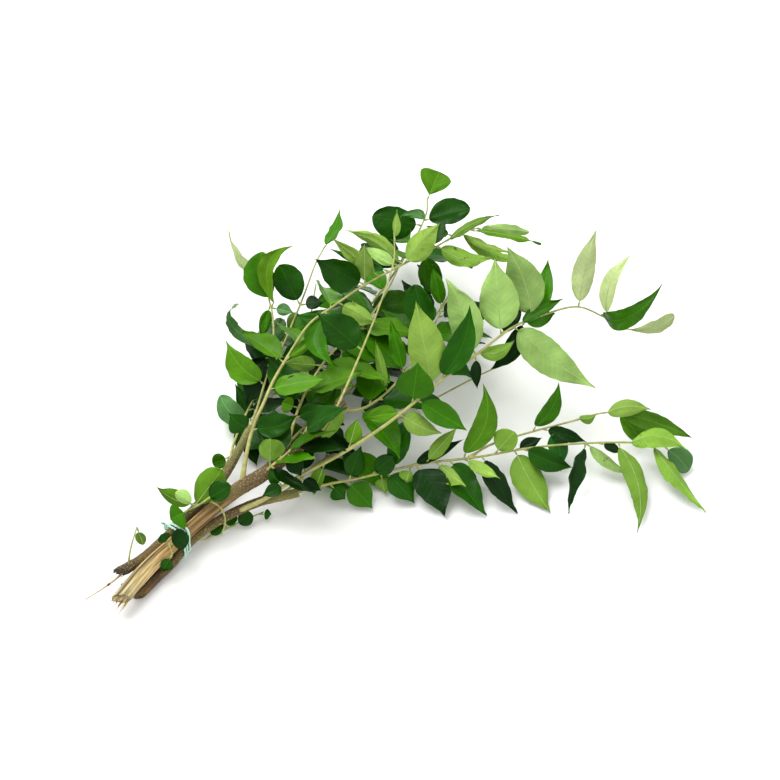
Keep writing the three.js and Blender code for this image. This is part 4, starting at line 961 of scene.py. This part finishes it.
def makeLeafMaterial():
    # fresh curry leaf: a waxy upper face with a soft shine and a matt, paler underside, with side
    # veins that run out to the margin
    made, tree, shader = newMaterial("freshCurryLeaf", {
        "Roughness": leafLook["upperRoughness"], "IOR": leafLook["ior"],
        "Specular IOR Level": leafLook["shine"]})
    colour, under, across, along, halfWidth, marks = meshValues(tree, {
        "bladeColour": "Color", "underSide": "Fac", "acrossBlade": "Fac", "alongMm": "Fac",
        "halfWidthMm": "Fac", "marks": "Fac"})
    place = objectPlace(tree)

    side = addNode(tree, "ShaderNodeMath ABSOLUTE", {0: across})
    away = addNode(tree, "ShaderNodeMath MULTIPLY", {0: side, 1: halfWidth})
    # side veins leave the midrib at a slant and wander a little
    slant = addNode(tree, "ShaderNodeMath MULTIPLY", {0: away, 1: leafLook["veinLean"]})
    start = addNode(tree, "ShaderNodeMath SUBTRACT", {0: along, 1: slant})
    wander = addNode(tree, "ShaderNodeTexNoise", {**leafLook["wander"], "Vector": place})
    wandered = addNode(tree, "ShaderNodeMath MULTIPLY_ADD", {
        0: wander, 1: leafLook["veinWander"], 2: start})
    count = addNode(tree, "ShaderNodeMath DIVIDE", {0: wandered, 1: leafLook["veinSpacing"]})
    gap = addNode(tree, "ShaderNodeMath PINGPONG", {0: count, 1: 0.5})
    vein = addNode(tree, "ShaderNodeMapRange", {
        "interpolation_type": "SMOOTHSTEP", "From Min": 0.0, "From Max": leafLook["veinWidth"],
        "To Min": 1.0, "To Max": 0.0, "Value": gap})
    fade = addNode(tree, "ShaderNodeMapRange", {**leafLook["veinFade"], "Value": side})
    veins = addNode(tree, "ShaderNodeMath MULTIPLY", {0: vein, 1: fade})
    midrib = addNode(tree, "ShaderNodeMapRange", {
        "interpolation_type": "SMOOTHSTEP", **leafLook["midribEdge"], "Value": away})

    # patches of stronger and weaker green
    mottle = addNode(tree, "ShaderNodeTexNoise", {**leafLook["mottle"], "Vector": place})
    lightness = addNode(tree, "ShaderNodeMapRange", {**leafLook["mottleLight"], "Value": mottle})
    # the midrib and the side veins are a little lighter than the rest
    ribs = addNode(tree, "ShaderNodeMath MULTIPLY_ADD", {
        0: midrib, 1: leafLook["ribLight"], 2: 1.0})
    veined = addNode(tree, "ShaderNodeMath MULTIPLY_ADD", {
        0: veins, 1: leafLook["veinLight"], 2: ribs})
    lightHere = addNode(tree, "ShaderNodeMath MULTIPLY", {0: lightness, 1: veined})
    patched = addNode(tree, "ShaderNodeHueSaturation", {
        "Saturation": leafLook["saturation"], "Value": lightHere, "Color": colour})
    # brown blemishes on a few leaflets
    blot = addNode(tree, "ShaderNodeTexNoise", {**leafLook["blots"], "Vector": place})
    blotEdge = addNode(tree, "ShaderNodeMapRange", {**leafLook["blotEdge"], "Value": blot})
    blotShare = addNode(tree, "ShaderNodeMath MULTIPLY", {0: blotEdge, 1: marks})
    blotted = addNode(tree, "ShaderNodeMix", {
        "data_type": "RGBA", "Factor": blotShare, 6: patched,
        7: linearColour(leafLook["blotColour"])})

    rough = addNode(tree, "ShaderNodeMapRange", {
        "To Min": leafLook["upperRoughness"], "To Max": leafLook["underRoughness"], "Value": under})
    # veins sink into the upper face and stand out below; fine cells roughen both
    turn = addNode(tree, "ShaderNodeMapRange", {"To Min": -1.0, "To Max": 1.0, "Value": under})
    raised = addNode(tree, "ShaderNodeMath MULTIPLY", {0: veins, 1: turn})
    cells = addNode(tree, "ShaderNodeTexNoise", {**leafLook["cells"], "Vector": place})
    height = addNode(tree, "ShaderNodeMath MULTIPLY_ADD", {
        0: cells, 1: leafLook["cellHeight"], 2: raised})
    bump = addNode(tree, "ShaderNodeBump", {**leafLook["relief"], "Height": height})
    setNode(tree, shader, {
        "Base Color": blotted.outputs[2], "Roughness": rough, "Normal": bump})
    return made


def makeStalkMaterial(name, roughness):
    # young green stalk: yellow-green skin with faint blotches and a soft shine. With a rougher
    # surface the same blotches make dry torn wood fibre.
    made, tree, shader = newMaterial(name, {"Roughness": roughness, "IOR": stalkLook["ior"]})
    colour, = meshValues(tree, {"stalkColour": "Color"})
    blotch = addNode(tree, "ShaderNodeTexNoise", {
        **stalkLook["blotches"], "Vector": objectPlace(tree)})
    lightness = addNode(tree, "ShaderNodeMapRange", {**stalkLook["blotchLight"], "Value": blotch})
    tinted = addNode(tree, "ShaderNodeHueSaturation", {"Value": lightness, "Color": colour})
    bump = addNode(tree, "ShaderNodeBump", {**stalkLook["relief"], "Height": blotch})
    setNode(tree, shader, {"Base Color": tinted, "Normal": bump})
    return made


leafMaterial = makeLeafMaterial()
stalkMaterial = makeStalkMaterial("greenStalk", stalkLook["greenRoughness"])
fibreMaterial = makeStalkMaterial("dryWoodFibre", stalkLook["dryRoughness"])


# ---- the fronds' pieces ----

def finishPiece(piece, nodes):
    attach(piece, "root")
    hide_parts(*nodes)


def makeFrond(frond, bladeTree, stalkTree, number):
    leaflets = placedLeaflets(frond)
    stalk = [rachisPath(frond)] + [petiolePath(leaf) for leaf in leaflets]
    piece = grow(pathMesh(stalk), frond["name"] + "_stalk", stalkTree, {
        **stalkForm["inputs"], "Seed": number, "Material": stalkMaterial})
    finishPiece(piece, [frond["name"]])
    if leaflets:
        blades = pathMesh([bladePath(leaf, number * 40 + i) for i, leaf in enumerate(leaflets)])
        piece = grow(blades, frond["name"] + "_blades", bladeTree, {
            **bladeForm["inputs"], "Material": leafMaterial})
        finishPiece(piece, [frond["name"]])
    return len(leaflets)


bladeTree = makeBladeTree()
stalkTree = makeStalkTree()
leafletCount = sum(makeFrond(frond, bladeTree, stalkTree, i + 1) for i, frond in enumerate(fronds))
print("fronds made:", len(fronds), "with", leafletCount, "leaflets")


# ---- woody stems: a ring swept along each one, with bark and grooves worked into it ----

woodForm = {
    "inputs": {
        "Sides": 52, "Groove depth": 1.6 * mm, "Groove crowding": 2.1, "Groove length": 34.0,
        "Bark relief": 0.55 * mm, "Bark grain": 1.5 * mm, "End slant": 2.2 * mm,
        "End raggedness": 4.5 * mm, "Lowest": 0.02 * mm,
    },
    "stationStep": 0.7, "endLength": 7.0, "crease": 0.9,
    "grooves": {"Detail": 3.0, "Roughness": 0.62}, "grooveLevel": 0.55,
    "barkNoise": {"Detail": 3.0, "Roughness": 0.6}, "barkShare": 1.15,
    "tearNoise": {"Scale": 2.6, "Detail": 4.0, "Roughness": 0.7},
}
# along each stem, in mm from its cut end: colour, how far it is peeled (0 bark, 1 bare wood) and
# how much thicker or thinner it is than its taper
woodCoats = {
    "woody_stem_1": [
        (0, "efdca0", 1, 1.1), (14, "e2c685", 1, 1.14), (30, "cda562", 1, 1.0),
        (40, "ab854a", 0.85, 0.98), (58, "ad8a50", 0.8, 1.02), (66, "85703e", 0.3, 1.06),
        (74, "6f5a36", 0, 1.1), (104, "71603a", 0, 1.0), (119, "82683c", 0.1, 1.0),
        (124, "e6cf9a", 1, 0.92),
    ],
    "woody_stem_2": [
        (0, "8b6a38", 0.7, 1.0), (10, "5e4422", 0.7, 1.05), (24, "6f5a2c", 0.4, 1.0),
        (34, "7c7036", 0.1, 1.0), (60, "6d5a34", 0, 1.0), (84, "8a8a45", 0, 1.0),
    ],
    "woody_stem_3": [
        (0, "6d5733", 0.6, 1.0), (12, "5a452a", 0.5, 1.0), (30, "5c4a2b", 0.2, 1.0),
        (60, "74683c", 0, 1.0), (90, "8f9350", 0, 1.0),
    ],
    "woody_stem_4": [
        (0, "5b4c3c", 0.3, 1.15), (5, "52432f", 0.1, 1.1), (12, "8d7547", 0.5, 0.95),
        (24, "7d6b40", 0.1, 1.0), (40, "6b6a3a", 0, 1.0), (59, "7e8447", 0, 1.0),
    ],
}
woodLook = {
    "roughness": 0.78, "ior": 1.5,
    # painted shade in the grooves and a painted highlight on the ridges, as lightness drawn from
    # the groove noise
    "grooveShadeAndHighlight": {"From Min": 0.4, "From Max": 0.6, "To Min": 0.14, "To Max": 1.3},
    # fibres under half a millimetre wide and a centimetre long
    "fibreStretch": 0.1, "fibreCrowding": 7.0, "fibreNoise": {"Detail": 4.0, "Roughness": 0.7},
    "fibreLight": {"From Min": 0.3, "From Max": 0.7, "To Min": 0.38, "To Max": 0.96},
    # pale corky specks under a millimetre across
    "specks": {"Scale": 1500.0, "Detail": 2.0}, "speckColour": "b7a06a",
    "speckShare": {"From Min": 0.54, "From Max": 0.64, "To Min": 0.0, "To Max": 0.55},
    "relief": {"Strength": 0.8, "Distance": 0.25 * mm},
}


def makeWoodTree():
    tree, given = newTree("woodyStem", woodForm["inputs"])
    curve = addNode(tree, "GeometryNodeMeshToCurve", {0: given["Geometry"]})
    ring = addNode(tree, "GeometryNodeCurvePrimitiveCircle", {
        "Radius": 1.0, "Resolution": given["Sides"]})
    place = addNode(tree, "GeometryNodeInputPosition")
    profile = addNode(tree, "GeometryNodeStoreNamedAttribute", {
        "data_type": "FLOAT_VECTOR", "Name": "around", 0: ring, "Value": place})
    tube = addNode(tree, "GeometryNodeCurveToMesh", {
        "Fill Caps": True, 0: curve, 1: profile, "Scale": namedValue(tree, "woodRadius")})
    spine = namedValue(tree, "spine", "FLOAT_VECTOR")
    around = namedValue(tree, "around", "FLOAT_VECTOR")
    along = namedValue(tree, "alongMm")
    peel = namedValue(tree, "peel")
    out = addNode(tree, "ShaderNodeVectorMath SUBTRACT", {0: place, 1: spine})
    outward = addNode(tree, "ShaderNodeVectorMath NORMALIZE", {0: out})

    # long grooves in the bare wood, drawn out along the grain
    ringPart = addNode(tree, "ShaderNodeSeparateXYZ", {0: around})
    grain = addNode(tree, "ShaderNodeMath DIVIDE", {0: along, 1: given["Groove length"]})
    grainPlace = addNode(tree, "ShaderNodeVectorMath SCALE", {
        0: around, "Scale": given["Groove crowding"]})
    grainShift = addNode(tree, "ShaderNodeCombineXYZ", {2: grain})
    groovePlace = addNode(tree, "ShaderNodeVectorMath ADD", {0: grainPlace, 1: grainShift})
    groove = addNode(tree, "ShaderNodeTexNoise", {
        "Scale": 1.0, **woodForm["grooves"], "Vector": groovePlace})
    ridge = addNode(tree, "ShaderNodeMath SUBTRACT", {0: groove, 1: woodForm["grooveLevel"]})
    ridgeHere = addNode(tree, "ShaderNodeMath MULTIPLY", {0: ridge, 1: peel})
    grooveDepth = addNode(tree, "ShaderNodeMath MULTIPLY", {0: ridgeHere, 1: given["Groove depth"]})
    # short rough grain where the bark is left
    finer = addNode(tree, "ShaderNodeMath DIVIDE", {0: 1.0, 1: given["Bark grain"]})
    barkPlace = addNode(tree, "ShaderNodeVectorMath SCALE", {0: place, "Scale": finer})
    bark = unevenness(tree, {**woodForm["barkNoise"], "Vector": barkPlace})
    covered = addNode(tree, "ShaderNodeMath SUBTRACT", {0: woodForm["barkShare"], 1: peel})
    barkHere = addNode(tree, "ShaderNodeMath MULTIPLY", {0: bark, 1: covered})
    barkDepth = addNode(tree, "ShaderNodeMath MULTIPLY_ADD", {
        0: barkHere, 1: given["Bark relief"], 2: grooveDepth})
    radial = addNode(tree, "ShaderNodeVectorMath SCALE", {0: outward, "Scale": barkDepth})
    # a slanting, torn end
    tear = unevenness(tree, {**woodForm["tearNoise"], "Vector": around})
    torn = addNode(tree, "ShaderNodeMath MULTIPLY", {0: tear, 1: given["End raggedness"]})
    slant = addNode(tree, "ShaderNodeMath MULTIPLY_ADD", {
        0: ringPart, 1: given["End slant"], 2: torn})
    endShift = addNode(tree, "ShaderNodeMath MULTIPLY", {0: slant, 1: namedValue(tree, "nearEnd")})
    axial = addNode(tree, "ShaderNodeVectorMath SCALE", {
        0: namedValue(tree, "axis", "FLOAT_VECTOR"), "Scale": endShift})
    both = addNode(tree, "ShaderNodeVectorMath ADD", {0: radial, 1: axial})
    rough = addNode(tree, "GeometryNodeSetPosition", {0: tube, "Offset": both})
    above = addNode(tree, "GeometryNodeSetPosition", {
        0: rough, "Position": aboveTable(tree, place, given["Lowest"])})
    grooved = addNode(tree, "GeometryNodeStoreNamedAttribute", {
        "Name": "groove", 0: above, "Value": groove})
    closeTree(tree, creased(tree, grooved, woodForm["crease"]), given["Material"])
    return tree


def coatAt(coats, distance):
    # colour, peel and thickness between the two nearest rows of a coat list
    for (d0, c0, p0, k0), (d1, c1, p1, k1) in zip(coats, coats[1:]):
        if distance <= d1:
            share = smooth(d0, d1, distance)
            return blendColour(c0, c1, share), mix(p0, p1, share), mix(k0, k1, share)
    return linearColour(coats[-1][1]), coats[-1][2], coats[-1][3]


def woodPath(stem):
    steps = round(curveLength(stem["points"]) / woodForm["stationStep"])
    path, last, distance = [], None, 0
    for i in range(steps + 1):
        t = i / steps
        place = curvePoint(stem["points"], t)
        distance += (place - last).length if last else 0
        last = place
        colour, peel, thickness = coatAt(woodCoats[stem["name"]], distance)
        path.append({
            "place": place, "spine": place * mm, "axis": curveTangent(stem["points"], t),
            "woodRadius": mix(*stem["radius"], t) * thickness * mm, "peel": float(peel),
            "nearEnd": 1 - smooth(0, woodForm["endLength"], distance),
            "alongMm": distance, "barkColour": colour,
        })
    return path


def makeWoodMaterial():
    # thin brown bark over pale tan wood: rough and speckled where the bark is on, streaked along
    # the grain where it is peeled, with painted shade in the grooves and painted highlights on the
    # ridges
    made, tree, shader = newMaterial("curryBarkAndWood", {
        "Roughness": woodLook["roughness"], "IOR": woodLook["ior"]})
    colour, peel, groove, around, along = meshValues(tree, {
        "barkColour": "Color", "peel": "Fac", "groove": "Fac", "around": "Vector",
        "alongMm": "Fac"})
    place = objectPlace(tree)
    # painted shade darkens the grooves and a painted highlight lightens the ridges
    depth = addNode(tree, "ShaderNodeMapRange", {**woodLook["grooveShadeAndHighlight"], "Value": groove})
    shading = addNode(tree, "ShaderNodeMix", {"Factor": peel, 2: 1.0, 3: depth})
    grooved = addNode(tree, "ShaderNodeHueSaturation", {"Value": shading, "Color": colour})
    # fibres along the grain
    stretch = addNode(tree, "ShaderNodeMath MULTIPLY", {0: along, 1: woodLook["fibreStretch"]})
    ringPlace = addNode(tree, "ShaderNodeVectorMath SCALE", {
        0: around, "Scale": woodLook["fibreCrowding"]})
    shift = addNode(tree, "ShaderNodeCombineXYZ", {2: stretch})
    fibrePlace = addNode(tree, "ShaderNodeVectorMath ADD", {0: ringPlace, 1: shift})
    fibre = addNode(tree, "ShaderNodeTexNoise", {
        "Scale": 1.0, **woodLook["fibreNoise"], "Vector": fibrePlace})
    fibreLight = addNode(tree, "ShaderNodeMapRange", {**woodLook["fibreLight"], "Value": fibre})
    fibred = addNode(tree, "ShaderNodeHueSaturation", {"Value": fibreLight, "Color": grooved})
    # specks on the bark
    speck = addNode(tree, "ShaderNodeTexNoise", {**woodLook["specks"], "Vector": place})
    speckShare = addNode(tree, "ShaderNodeMapRange", {**woodLook["speckShare"], "Value": speck})
    covered = addNode(tree, "ShaderNodeMath SUBTRACT", {"use_clamp": True, 0: 1.0, 1: peel})
    speckHere = addNode(tree, "ShaderNodeMath MULTIPLY", {0: speckShare, 1: covered})
    specked = addNode(tree, "ShaderNodeMix", {
        "data_type": "RGBA", "Factor": speckHere, 6: fibred,
        7: linearColour(woodLook["speckColour"])})
    height = addNode(tree, "ShaderNodeMath ADD", {0: fibre, 1: speck})
    bump = addNode(tree, "ShaderNodeBump", {**woodLook["relief"], "Height": height})
    setNode(tree, shader, {"Base Color": specked.outputs[2], "Normal": bump})
    return made


# ---- splinters and the long torn fibre at the cut ends ----

splinters = {
    "woody_stem_1": {
        "count": 24, "length": 8, "radius": 0.5, "splay": 0.12, "seed": 3, "colour": "dcc08a"},
    "woody_stem_2": {
        "count": 8, "length": 5, "radius": 0.3, "splay": 0.2, "seed": 4, "colour": "7a6a35"},
    "woody_stem_3": {
        "count": 8, "length": 4, "radius": 0.3, "splay": 0.2, "seed": 5, "colour": "6a5632"},
    "woody_stem_4": {
        "count": 12, "length": 6, "radius": 0.4, "splay": 0.35, "seed": 6, "colour": "54483c"},
}
splinterForm = {
    "inputs": {
        "Sides": 6, "Ripple height": 0.3 * mm, "Ripple length": 1.2 * mm, "Hair density": 0.0,
        "Hair length": 0.1 * mm, "Hair width": 0.01 * mm,
    },
    # the middle and the spread of a draw, as shares of the stem's radius or the splinter's length
    "root": (0.75, 0.2), "length": (0.75, 0.45), "splay": (0.5, 0.5),
    "angleSpread": 0.5, "lightSpread": 0.35, "rootDepth": 4, "waver": 0.6, "taper": 0.85,
    "lowest": 0.3, "steps": 6,
}
barkFibre = {
    "stem": "woody_stem_4", "radius": (0.6, 0.22), "steps": 30,
    "points": [(-8, 4, 7.6), (-13, 4.2, 5.6), (-19, 5.2, 3.4), (-28, 7.2, 0.8)],
    "colours": ("b99a66", "dcc79c"), "lump": (0.55, 0.62), "lumpColour": "6b4a2c", "lumpSize": 1.5,
}


def splinterPaths(stem):
    # strips of wood that run out past the end and lean away from it
    rule, form = splinters[stem["name"]], splinterForm
    draw = makeDraw(rule["seed"])
    end, axis = curvePoint(stem["points"], 0), -curveTangent(stem["points"], 0)
    side = axis.cross(Vector((0, 0, 1))).normalized()
    over = side.cross(axis)
    paths = []
    for i in range(rule["count"]):
        angle = 2 * math.pi * (i + form["angleSpread"] * draw()) / rule["count"]
        out = side * math.cos(angle) + over * math.sin(angle)
        away = stem["radius"][0] * (form["root"][0] + form["root"][1] * draw())
        root = end + out * away - axis * form["rootDepth"]
        length = rule["length"] * (form["length"][0] + form["length"][1] * draw())
        splay = form["splay"][0] + form["splay"][1] * draw()
        lean = (axis + out * rule["splay"] * splay).normalized()
        light = 1 + form["lightSpread"] * draw()
        colour = [c * light for c in linearColour(rule["colour"])[:3]] + [1]
        path = []
        for k in range(form["steps"] + 1):
            share = k / form["steps"]
            waver = out * (form["waver"] * share * share * draw())
            place = root + lean * (length * share) + waver
            place.z = max(place.z, form["lowest"])
            path.append(station(place, rule["radius"] * (1 - form["taper"] * share), colour))
        paths.append(path)
    return paths


def fibrePath():
    # a torn strip with one dark lump on it
    path = []
    for i in range(barkFibre["steps"] + 1):
        t = i / barkFibre["steps"]
        colour, radius = blendColour(*barkFibre["colours"], t), mix(*barkFibre["radius"], t)
        if barkFibre["lump"][0] < t < barkFibre["lump"][1]:
            colour = linearColour(barkFibre["lumpColour"])
            radius *= barkFibre["lumpSize"]
        path.append(station(curvePoint(barkFibre["points"], t), radius, colour))
    return path


woodMaterial = makeWoodMaterial()
woodTree = makeWoodTree()
for number, stem in enumerate(woodyStems):
    piece = grow(pathMesh([woodPath(stem)]), stem["name"] + "_wood", woodTree, {
        **woodForm["inputs"], "Material": woodMaterial})
    finishPiece(piece, [stem["name"]])
    torn = splinterPaths(stem) + ([fibrePath()] if stem["name"] == barkFibre["stem"] else [])
    piece = grow(pathMesh(torn), stem["name"] + "_splinters", stalkTree, {
        **splinterForm["inputs"], "Seed": number, "Material": fibreMaterial})
    finishPiece(piece, [stem["name"]])
print("woody stems made:", len(woodyStems))


# ---- the string: three strands laid round each other, drawn tight round the stems ----

tie = {
    "x": 17, "pitch": 1.5, "turns": 2.6, "lean": 2, "startAngle": 60, "clearance": 0.12,
    "radius": 0.55, "stepsPerTurn": 60, "roundings": 3,
}
stringForm = {
    "inputs": {"Strand radius": 0.3 * mm, "Lay length": 3.2 * mm, "Fuzz height": 0.12 * mm},
    "strands": 3, "strandSides": 8, "fuzzNoise": {"Scale": 2600.0, "Detail": 2.0},
}
stringLook = {
    "roughness": 0.85, "ior": 1.5, "sheen": 0.3, "colours": ("98cfb8", "d4efe2"),
    "fibres": {"Scale": 1800.0, "Detail": 3.0}, "relief": {"Strength": 0.7, "Distance": 0.1 * mm},
}
knot = {
    "turn": 1.79, "size": 0.62, "steps": 60, "gap": (0.03, 0.94), "height": 0.7, "depth": 0.45,
    # the two free ends: their lengths, how they rise and swerve, and which way they run off
    "endLengths": (7, 5), "endSteps": 24, "endHeight": 1.0, "endRise": (0.8, 3),
    "endSwerve": (1.1, 2.4), "endAhead": 0.35, "endAside": 0.95,
}


def sectionAt(stem, x):
    # where a stem passes x, and how thick it is there
    low, high = 0, 1
    while high - low > 1e-6:
        middle = (low + high) / 2
        if curvePoint(stem["points"], middle).x < x:
            low = middle
        else:
            high = middle
    place = curvePoint(stem["points"], low)
    return place.y, place.z, mix(*stem["radius"], low)


def tiePoint(turn):
    # the string lies against whichever stem reaches furthest in each direction
    angle = math.radians(tie["startAngle"]) + turn * 2 * math.pi
    across, up = math.cos(angle), math.sin(angle)
    x = tie["x"] + tie["pitch"] * (turn - tie["turns"] / 2) + tie["lean"] * up
    sections = [sectionAt(stem, x) for stem in woodyStems]
    y, z, radius = max(sections, key=lambda s: s[0] * across + s[1] * up + s[2])
    out = radius + tie["radius"] + tie["clearance"]
    return Vector((x, y + out * across, z + out * up))


def roundedPath(points, passes):
    # takes the corners off a path
    for _ in range(passes):
        inner = [(a + b * 2 + c) / 4 for a, b, c in zip(points, points[1:], points[2:])]
        points = [points[0]] + inner + [points[-1]]
    return points


def makeStringTree():
    tree, given = newTree("twistedString", stringForm["inputs"])
    curve = addNode(tree, "GeometryNodeMeshToCurve", {0: given["Geometry"]})
    length = addNode(tree, "GeometryNodeSplineParameter")
    turns = addNode(tree, "ShaderNodeMath DIVIDE", {
        0: length.outputs["Length"], 1: given["Lay length"]})
    angle = addNode(tree, "ShaderNodeMath MULTIPLY", {0: turns, 1: 2 * math.pi})
    normal = addNode(tree, "GeometryNodeInputNormal")
    tangent = addNode(tree, "GeometryNodeInputTangent")
    ring = addNode(tree, "GeometryNodeCurvePrimitiveCircle", {
        "Radius": 1.0, "Resolution": stringForm["strandSides"]})
    strands = addNode(tree, "GeometryNodeJoinGeometry")
    for strand in range(stringForm["strands"]):
        phase = addNode(tree, "ShaderNodeMath ADD", {
            0: angle, 1: 2 * math.pi * strand / stringForm["strands"]})
        direction = addNode(tree, "ShaderNodeVectorRotate", {
            "rotation_type": "AXIS_ANGLE", "Vector": normal, "Axis": tangent, "Angle": phase})
        offset = addNode(tree, "ShaderNodeVectorMath SCALE", {
            0: direction, "Scale": given["Strand radius"]})
        moved = addNode(tree, "GeometryNodeSetPosition", {0: curve, "Offset": offset})
        tube = addNode(tree, "GeometryNodeCurveToMesh", {
            "Fill Caps": True, 0: moved, 1: ring, "Scale": given["Strand radius"]})
        setNode(tree, strands, {0: tube})
    # fuzz on all of it
    amount = addNode(tree, "ShaderNodeMath MULTIPLY", {
        0: unevenness(tree, stringForm["fuzzNoise"]), 1: given["Fuzz height"]})
    fuzz = addNode(tree, "ShaderNodeVectorMath SCALE", {0: normal, "Scale": amount})
    fuzzy = addNode(tree, "GeometryNodeSetPosition", {0: strands, "Offset": fuzz})
    soft = addNode(tree, "GeometryNodeSetShadeSmooth", {"Shade Smooth": True, 0: fuzzy})
    closeTree(tree, soft, given["Material"])
    return tree


def makeStringMaterial():
    # thin pale mint cotton string: matt and fibrous
    made, tree, shader = newMaterial("mintCottonString", {
        "Roughness": stringLook["roughness"], "IOR": stringLook["ior"],
        "Sheen Weight": stringLook["sheen"]})
    pale, paler = [linearColour(c) for c in stringLook["colours"]]
    fibres = addNode(tree, "ShaderNodeTexNoise", {
        **stringLook["fibres"], "Vector": objectPlace(tree)})
    tinted = addNode(tree, "ShaderNodeMix", {
        "data_type": "RGBA", "Factor": fibres, 6: pale, 7: paler})
    bump = addNode(tree, "ShaderNodeBump", {**stringLook["relief"], "Height": fibres})
    setNode(tree, shader, {"Base Color": tinted.outputs[2], "Normal": bump})
    return made


def knotPaths():
    # a small hitch pulled down on the turns, with two short free ends
    centre = tiePoint(knot["turn"])
    ahead = (tiePoint(knot["turn"] + 0.02) - centre).normalized()
    out = ahead.cross(Vector((1, 0, 0))).normalized()
    out = out if out.dot(centre - tiePoint(knot["turn"] + 0.5)) > 0 else -out
    lengthwise = out.cross(ahead)
    size = knot["size"]
    first, spread = knot["gap"]
    loop = []
    for i in range(knot["steps"] + 1):
        a = 2 * math.pi * (i / knot["steps"] * spread + first)
        x, y = math.sin(a) + 2 * math.sin(2 * a), math.cos(a) - 2 * math.cos(2 * a)
        up = knot["height"] - math.sin(3 * a) * knot["depth"]
        loop.append(centre + out * up + ahead * (x * size) + lengthwise * (y * size))
    paths = [loop]
    rise, riseTurns = knot["endRise"]
    swerve, swerveTurns = knot["endSwerve"]
    for turn, length in zip((-1, 1), knot["endLengths"]):
        onward = ahead * knot["endAhead"] - lengthwise * knot["endAside"] * turn
        points = []
        for i in range(knot["endSteps"] + 1):
            s = i / knot["endSteps"]
            up = knot["endHeight"] + rise * math.sin(riseTurns * s)
            aside = turn * swerve * math.sin(swerveTurns * s)
            points.append(centre + (out * up + lengthwise * aside) + onward * (length * s))
        paths.append(points)
    return paths


turnSteps = round(tie["turns"] * tie["stepsPerTurn"])
wraps = [tiePoint(i / tie["stepsPerTurn"]) for i in range(turnSteps + 1)]
stringPaths = [roundedPath(wraps, tie["roundings"])] + knotPaths()
piece = grow(
    pathMesh([[{"place": point} for point in path] for path in stringPaths]), "tie_string",
    makeStringTree(), {**stringForm["inputs"], "Material": makeStringMaterial()})
finishPiece(piece, ["tie"])
print("string tied")
